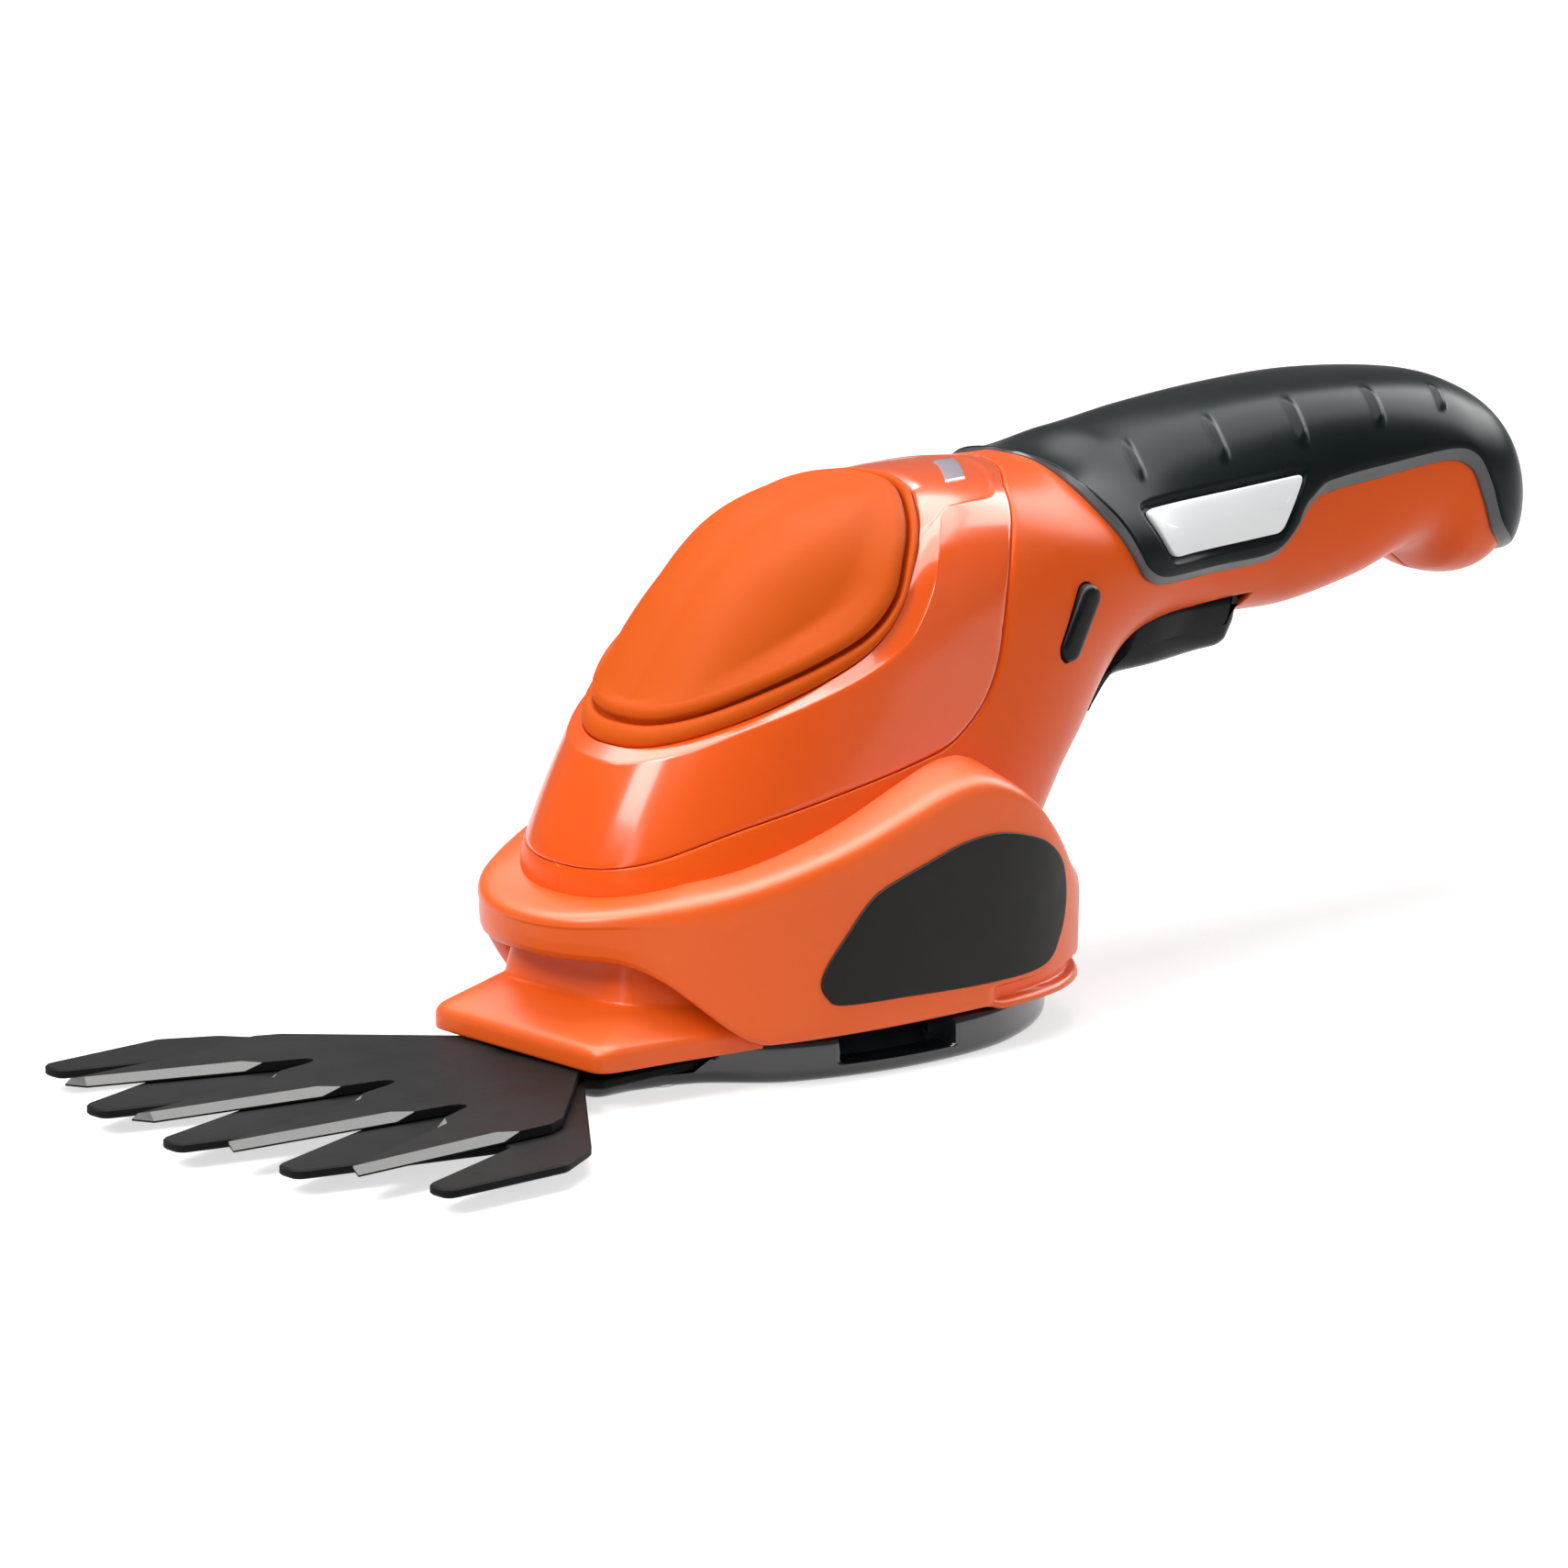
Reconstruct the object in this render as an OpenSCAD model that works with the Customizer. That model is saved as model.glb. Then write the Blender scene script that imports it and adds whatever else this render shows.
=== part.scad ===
// Cordless grass shears: a comb and a swinging cutter under a moulded body with a slim handle.
// +X runs from the blades to the handle, +Z is up. The crank axis meets the sole at the origin.

/* [Blades] */
// Distance of the blade pivot ahead of the crank axis
pivot_reach = 38; // [36:0.5:40]
// Distance from the pivot to the tip of the middle comb tooth
comb_reach = 85; // [78:0.5:92]
// Half the distance between the tips of the outer comb teeth
comb_half_w = 49; // [44:0.5:54]
// Distance from the pivot to the tips of the inner cutter teeth
cutter_reach = 82; // [76:0.5:88]
// Half the distance between the tips of the outer cutter teeth
cutter_half_w = 35.5; // [32:0.5:39]
// Thickness of each blade
blade_t = 1.8; // [1.4:0.1:1.9]
// Radius of a comb tooth tip
comb_tip_r = 2.6; // [2:0.1:3]
// Width of the ground bevel on the cutter
bevel_w = 2.4; // [1.5:0.1:3]
// Radius of the blade pivot
pivot_r = 4; // [3:0.25:5]
// Swing of the cutter to each side, in degrees
cutter_swing = 6; // [3:0.5:7]

/* [Base] */
// Distance of the nose's front edge ahead of the crank axis
nose_reach = 50; // [49:0.5:53]
// Half width of the nose at its front edge
nose_half_w = 21; // [19:0.5:23]
// Distance of the skirt's front ahead of the crank axis
skirt_front = 49; // [47:0.5:51]
// Distance of the skirt's rear behind the crank axis
skirt_rear = 60; // [58:0.5:63]
// Half width of the skirt
skirt_half_w = 36; // [34:0.5:39]
// Height of the skirt's bottom edge
skirt_z = 8; // [7.8:0.1:9]
// Height of the skirt's shoulder at its peak
crest_z = 49; // [46:0.5:52]
// Height of the skirt's lip at the front
lip_z = 31; // [29:0.5:33]
// Thickness of the sole's floor
sole_t = 1.6; // [1.2:0.1:2]

/* [Body] */
// Distance of the tower's front ahead of the crank axis
tower_front = 40.5; // [39:0.5:42]
// Distance of the tower's rear behind the crank axis, just above the skirt
tower_rear = 56; // [54:0.5:57]
// Half width of the tower
body_half_w = 28.5; // [27:0.5:30]
// Height of the cap's ridge
cap_z = 93; // [90:0.5:97]
// Place of the neck, where the hood ends and the handle starts
neck_x = 56; // [54:0.5:58]
// Distance of the handle's end behind the crank axis
handle_reach = 174.5; // [170:0.5:182]
// Height of the handle's top under its soft cover
handle_z = 95.3; // [93:0.5:98]
// Height of the handle's underside
handle_under_z = 58; // [56:0.5:59]
// Half width of the handle under its soft cover
handle_half_w = 17.5; // [16.5:0.25:19]
// Thickness of the moulded walls
wall = 2.2; // [1.8:0.1:2.6]
// Thickness of the soft grip cover
cover_t = 1.8; // [1.4:0.1:2.4]
// Thickness of the thin plates laid on the skirt and on the cover
plate_t = 0.5; // [0.4:0.1:0.8]

/* [Controls] */
// Half width of the trigger
trigger_half_w = 8.5; // [7:0.25:9.5]
// Width of the lock-off button
button_w = 4.4; // [3.6:0.2:5.2]
// Height of the lock-off button
button_h = 14.4; // [12:0.2:16]
// How far the lock-off button stands out of the wall
button_proud = 1.2; // [0.6:0.1:2]
// Radius of the charging socket's bore
socket_r = 2.85; // [2:0.05:3.2]
// Depth of the charging socket's bore
socket_depth = 9; // [7:0.5:10]

/* [Drive] */
// Module of both gear pairs
gear_module = 0.75; // [0.7:0.01:0.78]
// Face width of the gears
face_w = 4; // [3:0.25:4.5]
// Radius of the motor can
motor_r = 13.8; // [12:0.1:15]
// Length of the motor can
motor_len = 38; // [32:0.5:42]
// Radius of the motor shaft
shaft_r = 1.15; // [1:0.05:1.5]
// Radius of the idler axle
axle_r = 2; // [1.5:0.1:2.5]
// Radius of the crank spindle
spindle_r = 4; // [3:0.1:4.5]
// Radius of the crank pin
crank_pin_r = 1.75; // [1.25:0.05:2]

/* [Fits] */
// Clearance between separate pieces
gap = 0.3; // [0.2:0.05:0.4]
// Radial clearance of a running fit
running = 0.05; // [0.02:0.01:0.09]
// Radius of a screw's shank
screw_r = 1.4; // [1.2:0.05:1.6]
// Radius of a screw's head
head_r = 2.6; // [2.2:0.1:2.8]

/* [Hidden] */
$fn = 48;
ORANGE = "#f26a25";
BLACK = "#23282b";
STEEL = "#c8c9cc";
ring_points = 32;
ring_steps = 2;

// Heights of the drive, from the sole upwards
comb_z = sole_t;
cutter_z = comb_z + blade_t + gap;
cutter_top = cutter_z + blade_t;
disc_z = cutter_top + 0.6;
disc_t = 1.4;
plate_thick = 2.5;
crank_z = skirt_z + plate_thick + 0.5;
idler_z = crank_z + face_w + 0.5;
motor_plate_z = idler_z + face_w + 1.8;
motor_plate_t = 2.2;
motor_z = motor_plate_z + motor_plate_t;
motor_top = motor_z + motor_len;

// Gear sizes
pinion_teeth = 12;
gear_teeth = 36;
gear_r = gear_module * gear_teeth / 2;
pinion_r = gear_module * pinion_teeth / 2;
idler_x = gear_r + pinion_r;
crank_throw = pivot_reach * sin(cutter_swing);

// Handle places, from its end and its neck
grip_len = handle_reach - neck_x;
// The cell, the switch and the board follow the room inside the handle, as a share of the usual room
usual_room = 37.3;
room_share = (handle_z - handle_under_z) / usual_room;
cell_r = 9.2 * room_share;
cell_len = grip_len - 53.5;
cell_x = neck_x + 32.5;
cell_z = handle_z - 15.8 * room_share;
pivot_x = -pivot_reach;
trigger_x = neck_x + 24;
trigger_z = handle_under_z - 0.5;
socket_x = handle_reach - 11;
button_x = neck_x - 3.8;
button_z = handle_under_z + 9.3;
button_lean = 37;

// Rows of the body surface: front or top point, rear or bottom point, half width, roundness
body_rows = [
    [-tower_front + 0.5, lip_z - 4, tower_rear - 3, skirt_z + 3, body_half_w - 0.5, 2.4],
    [-tower_front, lip_z + 1.5, tower_rear, skirt_z + 20, body_half_w, 2.4],
    [-tower_front + 1, 38, tower_rear + 8, handle_under_z - 18, body_half_w, 2.4],
    [-tower_front + 7, 50, tower_rear + 15, handle_under_z - 10.5, body_half_w - 0.5, 2.4],
    [-tower_front + 15.5, cap_z - 30, tower_rear + 21, handle_under_z - 6.5, body_half_w - 1, 2.4],
    [neck_x - 68, cap_z - 15, neck_x + 27, handle_under_z - 4, body_half_w - 1.5, 2.4],
    [neck_x - 51, cap_z - 4, neck_x + 32, handle_under_z - 3, body_half_w - 2.5, 2.4],
    [neck_x - 26, cap_z, neck_x + 37, handle_under_z - 2.4, body_half_w - 4.5, 2.4],
    [neck_x, cap_z - 1.2, neck_x + 42, handle_under_z - 2, handle_half_w + 4, 2.3],
    [neck_x + 0.15 * grip_len, handle_z - 2.7, neck_x + 0.4 * grip_len, handle_under_z - 1.5, handle_half_w + 1.5, 2.2],
    [neck_x + 0.3 * grip_len, handle_z - 0.9, neck_x + 0.465 * grip_len, handle_under_z - 0.7, handle_half_w + 0.5, 2.2],
    [neck_x + 0.47 * grip_len, handle_z, neck_x + 0.53 * grip_len, handle_under_z, handle_half_w, 2.2],
    [neck_x + 0.64 * grip_len, handle_z - 0.3, neck_x + 0.64 * grip_len, handle_under_z + 2.5, handle_half_w, 2.2],
    [handle_reach - 26.5, handle_z - 1.8, handle_reach - 29.5, handle_under_z + 4.8, handle_half_w, 2.2],
    [handle_reach - 15.5, handle_z - 4.1, handle_reach - 18.5, handle_under_z - 0.4, handle_half_w - 0.3, 2.2],
    [handle_reach - 6.5, handle_z - 9.3, handle_reach - 9.5, handle_under_z - 0.5, handle_half_w - 2.5, 2.2],
    [handle_reach - 1.5, handle_z - 18.3, handle_reach - 2.5, handle_under_z + 3, handle_half_w - 8, 2.2],
    [handle_reach, handle_z - 22, handle_reach - 0.5, handle_under_z + 8, handle_half_w - 13.5, 2.2]
];

// Side view of the hood's seam, of the cap's ring and of the grip cover's edge
hood_seam = [
    [neck_x + 4, cap_z + 6], [neck_x - 1.5, cap_z - 1.3], [neck_x - 10.5, cap_z - 3.5], [neck_x - 16.5, cap_z - 9],
    [neck_x - 20.5, cap_z - 18], [neck_x - 24, cap_z - 31], [neck_x - 34.7, cap_z - 41.2],
    [neck_x - 62, 46.1], [-tower_front + 5, 37.7], [-tower_front - 4, 31]
];
cap_edge = [
    [neck_x - 21, cap_z + 4], [neck_x - 27, cap_z - 0.6], [neck_x - 38.5, cap_z - 9.4], [neck_x - 47, cap_z - 18.2],
    [neck_x - 57.6, cap_z - 22.4], [neck_x - 72.4, cap_z - 28.2], [-tower_front + 12, cap_z - 35],
    [-tower_front + 2, cap_z - 42]
];
cover_edge = [
    [neck_x - 0.6, handle_z + 4], [neck_x, handle_z - 3.5], [neck_x + 2.7, handle_z - 11], [neck_x + 6.5, handle_z - 18],
    [neck_x + 13, handle_z - 24.3], [neck_x + 24.6, handle_z - 25.7], [neck_x + 46, handle_z - 25.7],
    [neck_x + 53, handle_z - 22.8], [neck_x + 59.4, handle_z - 16.5], [neck_x + 72, handle_z - 14.8],
    [handle_reach - 29, handle_z - 14], [handle_reach - 22.5, handle_z - 17], [handle_reach - 19, handle_z - 24],
    [handle_reach - 14, handle_z - 30.5], [handle_reach + 8, handle_z - 38]
];
label_edge = [
    [neck_x + 17, handle_z - 12.2], [neck_x + 55, handle_z - 11.8], [neck_x + 49.5, handle_z - 20.4],
    [neck_x + 22, handle_z - 20.4]
];
badge_low = [[-6, 14.5], [-1, 11.6], [40, 13], [47.5, 19]];
badge_high = [[-6, 15.5], [8, 25.5], [20, 33], [30, 35.6], [40, 33.2], [46, 27.5], [47.5, 22]];

// Plain helpers
function mix(a, b, t) = a + (b - a) * t;
function spow(v, e) = sign(v) * pow(abs(v), e);
function clamp(v, low, high) = min(high, max(low, v));
function ease(v) = let (t = clamp(v, 0, 1)) t * t * (3 - 2 * t);
function side(p) = [p[0], -p[1]];

// Smooth curve through a list of rows, at t counted in rows
function curve_at(rows, t) =
    let (
        last = len(rows) - 1,
        i = min(floor(t), last - 1),
        f = t - i,
        p0 = rows[max(i - 1, 0)],
        p1 = rows[i],
        p2 = rows[i + 1],
        p3 = rows[min(i + 2, last)]
    )
    0.5 * (2 * p1 + (p2 - p0) * f + (2 * p0 - 5 * p1 + 4 * p2 - p3) * f * f
        + (3 * p1 - p0 - 3 * p2 + p3) * f * f * f);
function curve(rows, steps) = [for (i = [0 : (len(rows) - 1) * steps]) curve_at(rows, i / steps)];

// Solid through a list of rings that run counter-clockwise about the way from the first to the last
function band_faces(n, k) = [
    for (i = [0 : n - 2], j = [0 : k - 1])
        each [
            [i * k + j, i * k + (j + 1) % k, (i + 1) * k + (j + 1) % k],
            [i * k + j, (i + 1) * k + (j + 1) % k, (i + 1) * k + j]
        ]
];
module loft(rings) {
    n = len(rings);
    k = len(rings[0]);
    caps = [[for (j = [0 : k - 1]) j], [for (j = [k - 1 : -1 : 0]) (n - 1) * k + j]];
    polyhedron([for (r = rings) each r], concat(band_faces(n, k), caps));
}
module closed_loft(rings) {
    n = len(rings);
    k = len(rings[0]);
    polyhedron(
        [for (r = rings) each r],
        [for (f = band_faces(n + 1, k)) [for (v = f) v % (n * k)]]
    );
}

// Body surface, moved outwards by out
function body_ring(t, out) =
    let (
        r = curve_at(body_rows, t),
        a = [r[0], r[1]],
        b = [r[2], r[3]],
        mid = (a + b) / 2,
        half = norm(a - b) / 2,
        way = (a - b) / (2 * half),
        power = 2 / r[5]
    )
    [
        for (k = [0 : ring_points - 1])
            let (
                angle = 360 * k / ring_points,
                q = mid + way * (half + out) * spow(cos(angle), power)
            )
            [q[0], -(r[4] + out) * spow(sin(angle), power), q[1]]
    ];
module body_solid(out = 0) {
    last = len(body_rows) - 1;
    count = last * ring_steps;
    inner_end = out < 0 ? 0.35 : 0;
    rings = [for (i = [0 : count]) body_ring(min(i / ring_steps, last - inner_end), out)];
    foot = [for (p = body_ring(0, out)) p - [0, 0, 2]];
    tip = [for (p = rings[count]) p + [max(out, 0), 0, 0]];
    trimmed = [for (i = [0 : count - 1]) if (i / ring_steps < last - inner_end) rings[i]];
    loft(concat(out < 0 ? [foot] : [], trimmed, [tip]));
}
module body_wall() {
    difference() {
        body_solid();
        body_solid(-wall);
    }
}

// Slab over a side-view outline, from y0 to y1
module side_slab(points, y0 = -60, y1 = 60) {
    translate([0, y1, 0])
        rotate([90, 0, 0])
            linear_extrude(y1 - y0)
                polygon(points);
}
module hood_zone(shift = 0) {
    far = [[-tower_front - 30, 31], [-tower_front - 30, cap_z + 30], [neck_x + 4, cap_z + 30]];
    translate([shift, 0, -shift])
        side_slab(concat(curve(hood_seam, 3), far));
}
module cap_zone(shift = 0) {
    far = [[-tower_front - 30, cap_z - 42], [-tower_front - 30, cap_z + 30], [neck_x - 21, cap_z + 30]];
    translate([shift, 0, -shift])
        side_slab(concat(curve(cap_edge, 3), far));
}
module half_space(sign) {
    translate([-150, sign > 0 ? 0 : -80, -20])
        cube([400, 80, 160]);
}

// Plan outline of the skirt: one superellipse ahead of its widest place, another behind
skirt_mid = 20;
function skirt_plan(angle, inset) =
    let (
        c = cos(angle),
        power = 2 / (c < 0 ? 2.3 : 2.6),
        reach = c < 0 ? skirt_mid + skirt_front - inset : skirt_rear - skirt_mid - inset
    )
    [skirt_mid + reach * spow(c, power), (skirt_half_w - inset) * spow(sin(angle), power)];
crest_rows = [
    [-skirt_front, lip_z], [-25, crest_z - 14.5], [-8, crest_z - 9.5], [8, crest_z - 4], [20, crest_z],
    [28, crest_z - 0.6], [36, crest_z - 4.5], [44, crest_z - 12], [51, crest_z - 19], [skirt_rear, crest_z - 23]
];
function crest_at(x) = lookup(x, crest_rows);
function hem_at(x) = mix(lip_z - 8, skirt_z, ease((x + skirt_front - 4) / 24));
skirt_outer = [[1, 9], [0.985, 5.2], [0.92, 2.6], [0.78, 0.9], [0.5, 0], [0.2, 0.4], [0, 1.6]];
skirt_inner = [[0, 1.6], [0.3, 0.3], [0.6, 0.2], [0.85, 1.8], [0.97, 5.5]];
function skirt_section(angle) =
    let (mid = skirt_plan(angle, 0))
    concat(
        [
            for (s = skirt_outer)
                let (q = skirt_plan(angle, s[1]))
                [q[0], q[1], mix(hem_at(mid[0]), crest_at(mid[0]), s[0])]
        ],
        [
            for (s = skirt_inner)
                let (q = skirt_plan(angle, s[1] + wall))
                [q[0], q[1], mix(hem_at(mid[0]), crest_at(mid[0]) - wall, s[0])]
        ]
    );
module skirt_ring() {
    closed_loft([for (angle = [0 : 7.5 : 359]) skirt_section(angle)]);
}

// Plan outline of the sole, front to rear on one side
sole_rows = [
    [-nose_reach + 4, 0], [-nose_reach + 4.2, 12], [-nose_reach + 7, 14.6], [-36, 15.2], [-26, 18.5], [-14, 28],
    [6, skirt_half_w - 2.4], [28, skirt_half_w - 3], [skirt_rear - 14, skirt_half_w - 12],
    [skirt_rear - 5, 11], [skirt_rear - 3.5, 0]
];
sole_half = curve(sole_rows, 3);
sole_loop = concat(sole_half, [for (i = [len(sole_half) - 2 : -1 : 1]) side(sole_half[i])]);

// Involute tooth flank and gear outline
pressure = 25;
backlash = 0.1;
function involute(base, r) =
    let (a = acos(min(1, base / r)))
    tan(a) * 180 / PI - a;
function gear_points(teeth) =
    let (
        pitch = gear_module * teeth / 2,
        base = pitch * cos(pressure),
        root = pitch - 1.2 * gear_module,
        tip = pitch + 0.95 * gear_module,
        half = 90 / teeth - backlash / pitch * 90 / PI,
        start = max(root + 0.01, base),
        flank = [for (i = [0 : 4]) mix(start, tip, i / 4)]
    )
    [
        for (k = [0 : teeth - 1])
            let (mid = 360 * k / teeth)
            each concat(
                [[root, mid - half - involute(base, pitch)]],
                [for (r = flank) [r, mid - half - involute(base, pitch) + involute(base, r)]],
                [for (i = [4 : -1 : 0]) [flank[i], mid + half + involute(base, pitch) - involute(base, flank[i])]],
                [[root, mid + half + involute(base, pitch)]]
            )
    ];
module gear(teeth, turn = 0) {
    rotate(turn)
        linear_extrude(face_w)
            polygon([for (p = gear_points(teeth)) p[0] * [cos(p[1]), sin(p[1])]]);
}

// Places of fasteners
case_places = [[neck_x - 6, 48], [neck_x + 7, cap_z - 14], [neck_x + 0.574 * grip_len, handle_under_z + 6]];
sole_places = [[-30, 13.2], [40, 17.5]];
post_places = [[-13, 16], [31, 14]];
motor_hole_r = 8;

// Tooth places of the blades, on the +Y side
comb_tips = [[0, comb_reach], [comb_half_w / 2, comb_reach - 4], [comb_half_w, comb_reach - 14.5]];
comb_roots = [[comb_half_w / 4 - 0.4, 51], [comb_half_w * 0.765, 45.5]];
cutter_tips = [[cutter_half_w * 0.315, cutter_reach], [cutter_half_w, cutter_reach - 5.5]];
cutter_roots = [[0, 38], [cutter_half_w * 0.545, 39]];
neck_half_w = 15;
blade_slot_half = 17;
tail_half_w = 8;
fork_half = 2 * crank_throw + crank_pin_r + 0.4;

module comb_outline() {
    w = comb_tip_r;
    half = [
        [-13, 17.5], [8, 17.5], [10, neck_half_w], [36, comb_half_w - 2], [45, comb_half_w + w + 0.4],
        [comb_tips[2][1], comb_half_w + w], [comb_tips[2][1], comb_half_w - w],
        [comb_roots[1][1], comb_roots[1][0] + 1], [comb_roots[1][1], comb_roots[1][0] - 1],
        [comb_tips[1][1], comb_tips[1][0] + w], [comb_tips[1][1], comb_tips[1][0] - w],
        [comb_roots[0][1], comb_roots[0][0] + 1], [comb_roots[0][1], comb_roots[0][0] - 1], [comb_reach, w]
    ];
    loop = concat(half, [for (i = [len(half) - 1 : -1 : 0]) side(half[i])]);
    offset(r = w - 0.1)
        offset(delta = -w + 0.1)
            polygon([for (p = loop) [-p[0], p[1]]]);
}

// Ways along the cutting edges of the cutter's teeth on the +Y side: root, then tip
tip_half = 1.7;
cutter_edges = [
    [[cutter_roots[0][1] + 4, 1.6], [cutter_tips[0][1], cutter_tips[0][0] - tip_half]],
    [[cutter_roots[1][1] + 4, cutter_roots[1][0] - 1.4], [cutter_tips[0][1], cutter_tips[0][0] + tip_half]],
    [[cutter_roots[1][1] + 4, cutter_roots[1][0] + 1.4], [cutter_tips[1][1], cutter_half_w - tip_half]],
    [[36, cutter_half_w + 1.8], [cutter_tips[1][1], cutter_half_w + tip_half]]
];
module cutter_outline() {
    r = cutter_roots;
    t = cutter_tips;
    half = [
        [-pivot_reach - 8, fork_half + 4], [-pivot_reach - 8, fork_half], [-pivot_reach + 9, fork_half],
        [-pivot_reach + 9, 0]
    ];
    front = [
        [-pivot_reach + 4, fork_half + 4], [-22, tail_half_w], [-6, tail_half_w], [0, 10.5], [8, neck_half_w - 3],
        [32, cutter_half_w], [36, cutter_half_w + 1.8], [t[1][1], cutter_half_w + tip_half],
        [t[1][1] - 2, cutter_half_w - tip_half], [r[1][1], r[1][0] + 0.8], [r[1][1], r[1][0] - 0.8],
        [t[0][1], t[0][0] + tip_half], [t[0][1] - 2, t[0][0] - tip_half], [r[0][1], 0.8]
    ];
    loop = concat(half, [for (i = [2 : -1 : 0]) side(half[i])], [for (p = front) side(p)],
        [for (i = [len(front) - 1 : -1 : 0]) front[i]]);
    polygon([for (p = loop) [-p[0], p[1]]]);
}

// Cut along one edge of a tooth, which leaves a ground bevel; turn is 1 where the tooth lies to +Y of the edge
module bevel_cut(root, tip, turn) {
    way = tip - root;
    translate([-root[0], root[1], cutter_top])
        rotate([0, 0, atan2(way[1], -way[0])])
            rotate([90, 0, 90])
                linear_extrude(norm(way) + 3)
                    polygon([[turn * bevel_w, 0.01], [-turn * 1, 0.01], [-turn * 1, -blade_t * 0.75], [0, -blade_t * 0.7]]);
}

// A tube along a list of points
module tube(points, r, sides) {
    n = len(points);
    rings = [
        for (i = [0 : n - 1])
            let (
                v = points[min(i + 1, n - 1)] - points[max(i - 1, 0)],
                w = v / norm(v),
                ref = abs(w[2]) < 0.9 ? [0, 0, 1] : [1, 0, 0],
                u = cross(ref, w) / norm(cross(ref, w)),
                s = cross(w, u)
            )
            [for (k = [0 : sides - 1]) points[i] + r * (u * cos(360 * k / sides) + s * sin(360 * k / sides))]
    ];
    loft(rings);
}
shelf_x = trigger_x + 29;
shelf_z = trigger_z + 8.8;

module comb_blade() {
    color(BLACK) difference() {
        translate([pivot_x, 0, comb_z])
            linear_extrude(blade_t)
                comb_outline();
        translate([pivot_x, 0, comb_z - 1])
            cylinder(r = pivot_r + 0.02, h = blade_t + 2);
        for (s = [-1, 1])
            translate([sole_places[0][0], s * sole_places[0][1], comb_z - 1])
                cylinder(r = screw_r + 0.1, h = blade_t + 2);
    }
}

module cutter_blade() {
    color(BLACK) difference() {
        translate([pivot_x, 0, cutter_z])
            linear_extrude(blade_t)
                cutter_outline();
        translate([pivot_x, 0, cutter_z - 1])
            cylinder(r = pivot_r + running, h = blade_t + 2);
        translate([pivot_x, 0, 0])
            for (i = [0 : len(cutter_edges) - 1]) {
                turn = i % 2 == 0 ? 1 : -1;
                bevel_cut(cutter_edges[i][0], cutter_edges[i][1], turn);
                bevel_cut(side(cutter_edges[i][0]), side(cutter_edges[i][1]), -turn);
            }
    }
}

module blade_pivot() {
    color(STEEL) translate([pivot_x, 0, sole_t]) {
        cylinder(r = pivot_r, h = cutter_top + 0.2 - sole_t);
        cylinder(r = pivot_r - 1, h = skirt_z + 4 - sole_t);
    }
}

module pivot_washer() {
    color(STEEL) translate([pivot_x, 0, cutter_top + 0.2]) difference() {
        cylinder(r = pivot_r + 3.5, h = 0.8);
        translate([0, 0, -1])
            cylinder(r = pivot_r - 1 + running, h = 3);
    }
}

module sole_outline(inset) {
    offset(delta = -inset)
        polygon(sole_loop);
}
module sole_plate() {
    top = skirt_z - gap;
    color(BLACK) difference() {
        union() {
            linear_extrude(0.9)
                sole_outline(1.2);
            translate([0, 0, 0.9])
                linear_extrude(top - 0.9)
                    sole_outline(0);
        }
        translate([0, 0, sole_t])
            linear_extrude(top)
                sole_outline(wall + 1);
        translate([-nose_reach, -nose_half_w - 1.5, sole_t])
            cube([30, 2 * nose_half_w + 3, 10]);
        for (s = [-1, 1]) {
            translate([1, s * (skirt_half_w - 3) - 4, 3.2])
                cube([18, 8, 10]);
            for (p = sole_places) {
                translate([p[0], s * p[1], -1])
                    cylinder(r = head_r + 0.1, h = 2);
                translate([p[0], s * p[1], -1])
                    cylinder(r = screw_r + 0.1, h = 4);
            }
        }
    }
}

module base_housing() {
    color(ORANGE) difference() {
        skirt_ring();
        body_solid(gap);
        for (s = [-1, 1])
            translate([skirt_rear - 17, s * (skirt_half_w - 2.5), skirt_z + 4])
                rotate([0, 0, -s * 38])
                    cube([18, 3.6, 3.2], center = true);
    }
}

module nose_guard() {
    rear = -20;
    deck_z = skirt_z + 7.2;
    throat_half_w = 14;
    deck = [
        [-nose_reach, skirt_z - 1.4], [-nose_reach - 0.3, skirt_z + 1.2], [-nose_reach + 1.2, skirt_z + 2.8],
        [-nose_reach + 9, deck_z], [rear - 2, deck_z], [rear, deck_z - 3], [rear, skirt_z - 1.4]
    ];
    throat = [
        [-nose_reach + 9.5, deck_z - 2], [-nose_reach + 11.5, deck_z + 2.6], [-nose_reach + 12.3, lip_z - 7.4],
        [rear - 9, lip_z - 7.4], [rear - 5, deck_z - 2]
    ];
    color(ORANGE) difference() {
        union() {
            side_slab(deck, -nose_half_w, nose_half_w);
            side_slab(throat, -throat_half_w, throat_half_w);
            for (s = [-1, 1])
                translate([sole_places[0][0], s * sole_places[0][1], comb_z + blade_t])
                    cylinder(r = 3, h = skirt_z - comb_z - blade_t);
        }
        translate([-nose_reach - 2, -blade_slot_half, skirt_z - 3])
            cube([10, 2 * blade_slot_half, 2.2]);
        for (s = [-1, 1])
            translate([-nose_reach, s * nose_half_w, 0])
                rotate(45)
                    cube([5, 5, 80], center = true);
        translate([pivot_x, 0, skirt_z - 3])
            cylinder(r = pivot_r - 1 + 0.02, h = 7.1);
        for (s = [-1, 1])
            translate([sole_places[0][0], s * sole_places[0][1], 2])
                cylinder(r = screw_r + 0.1, h = 11);
    }
}

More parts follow.
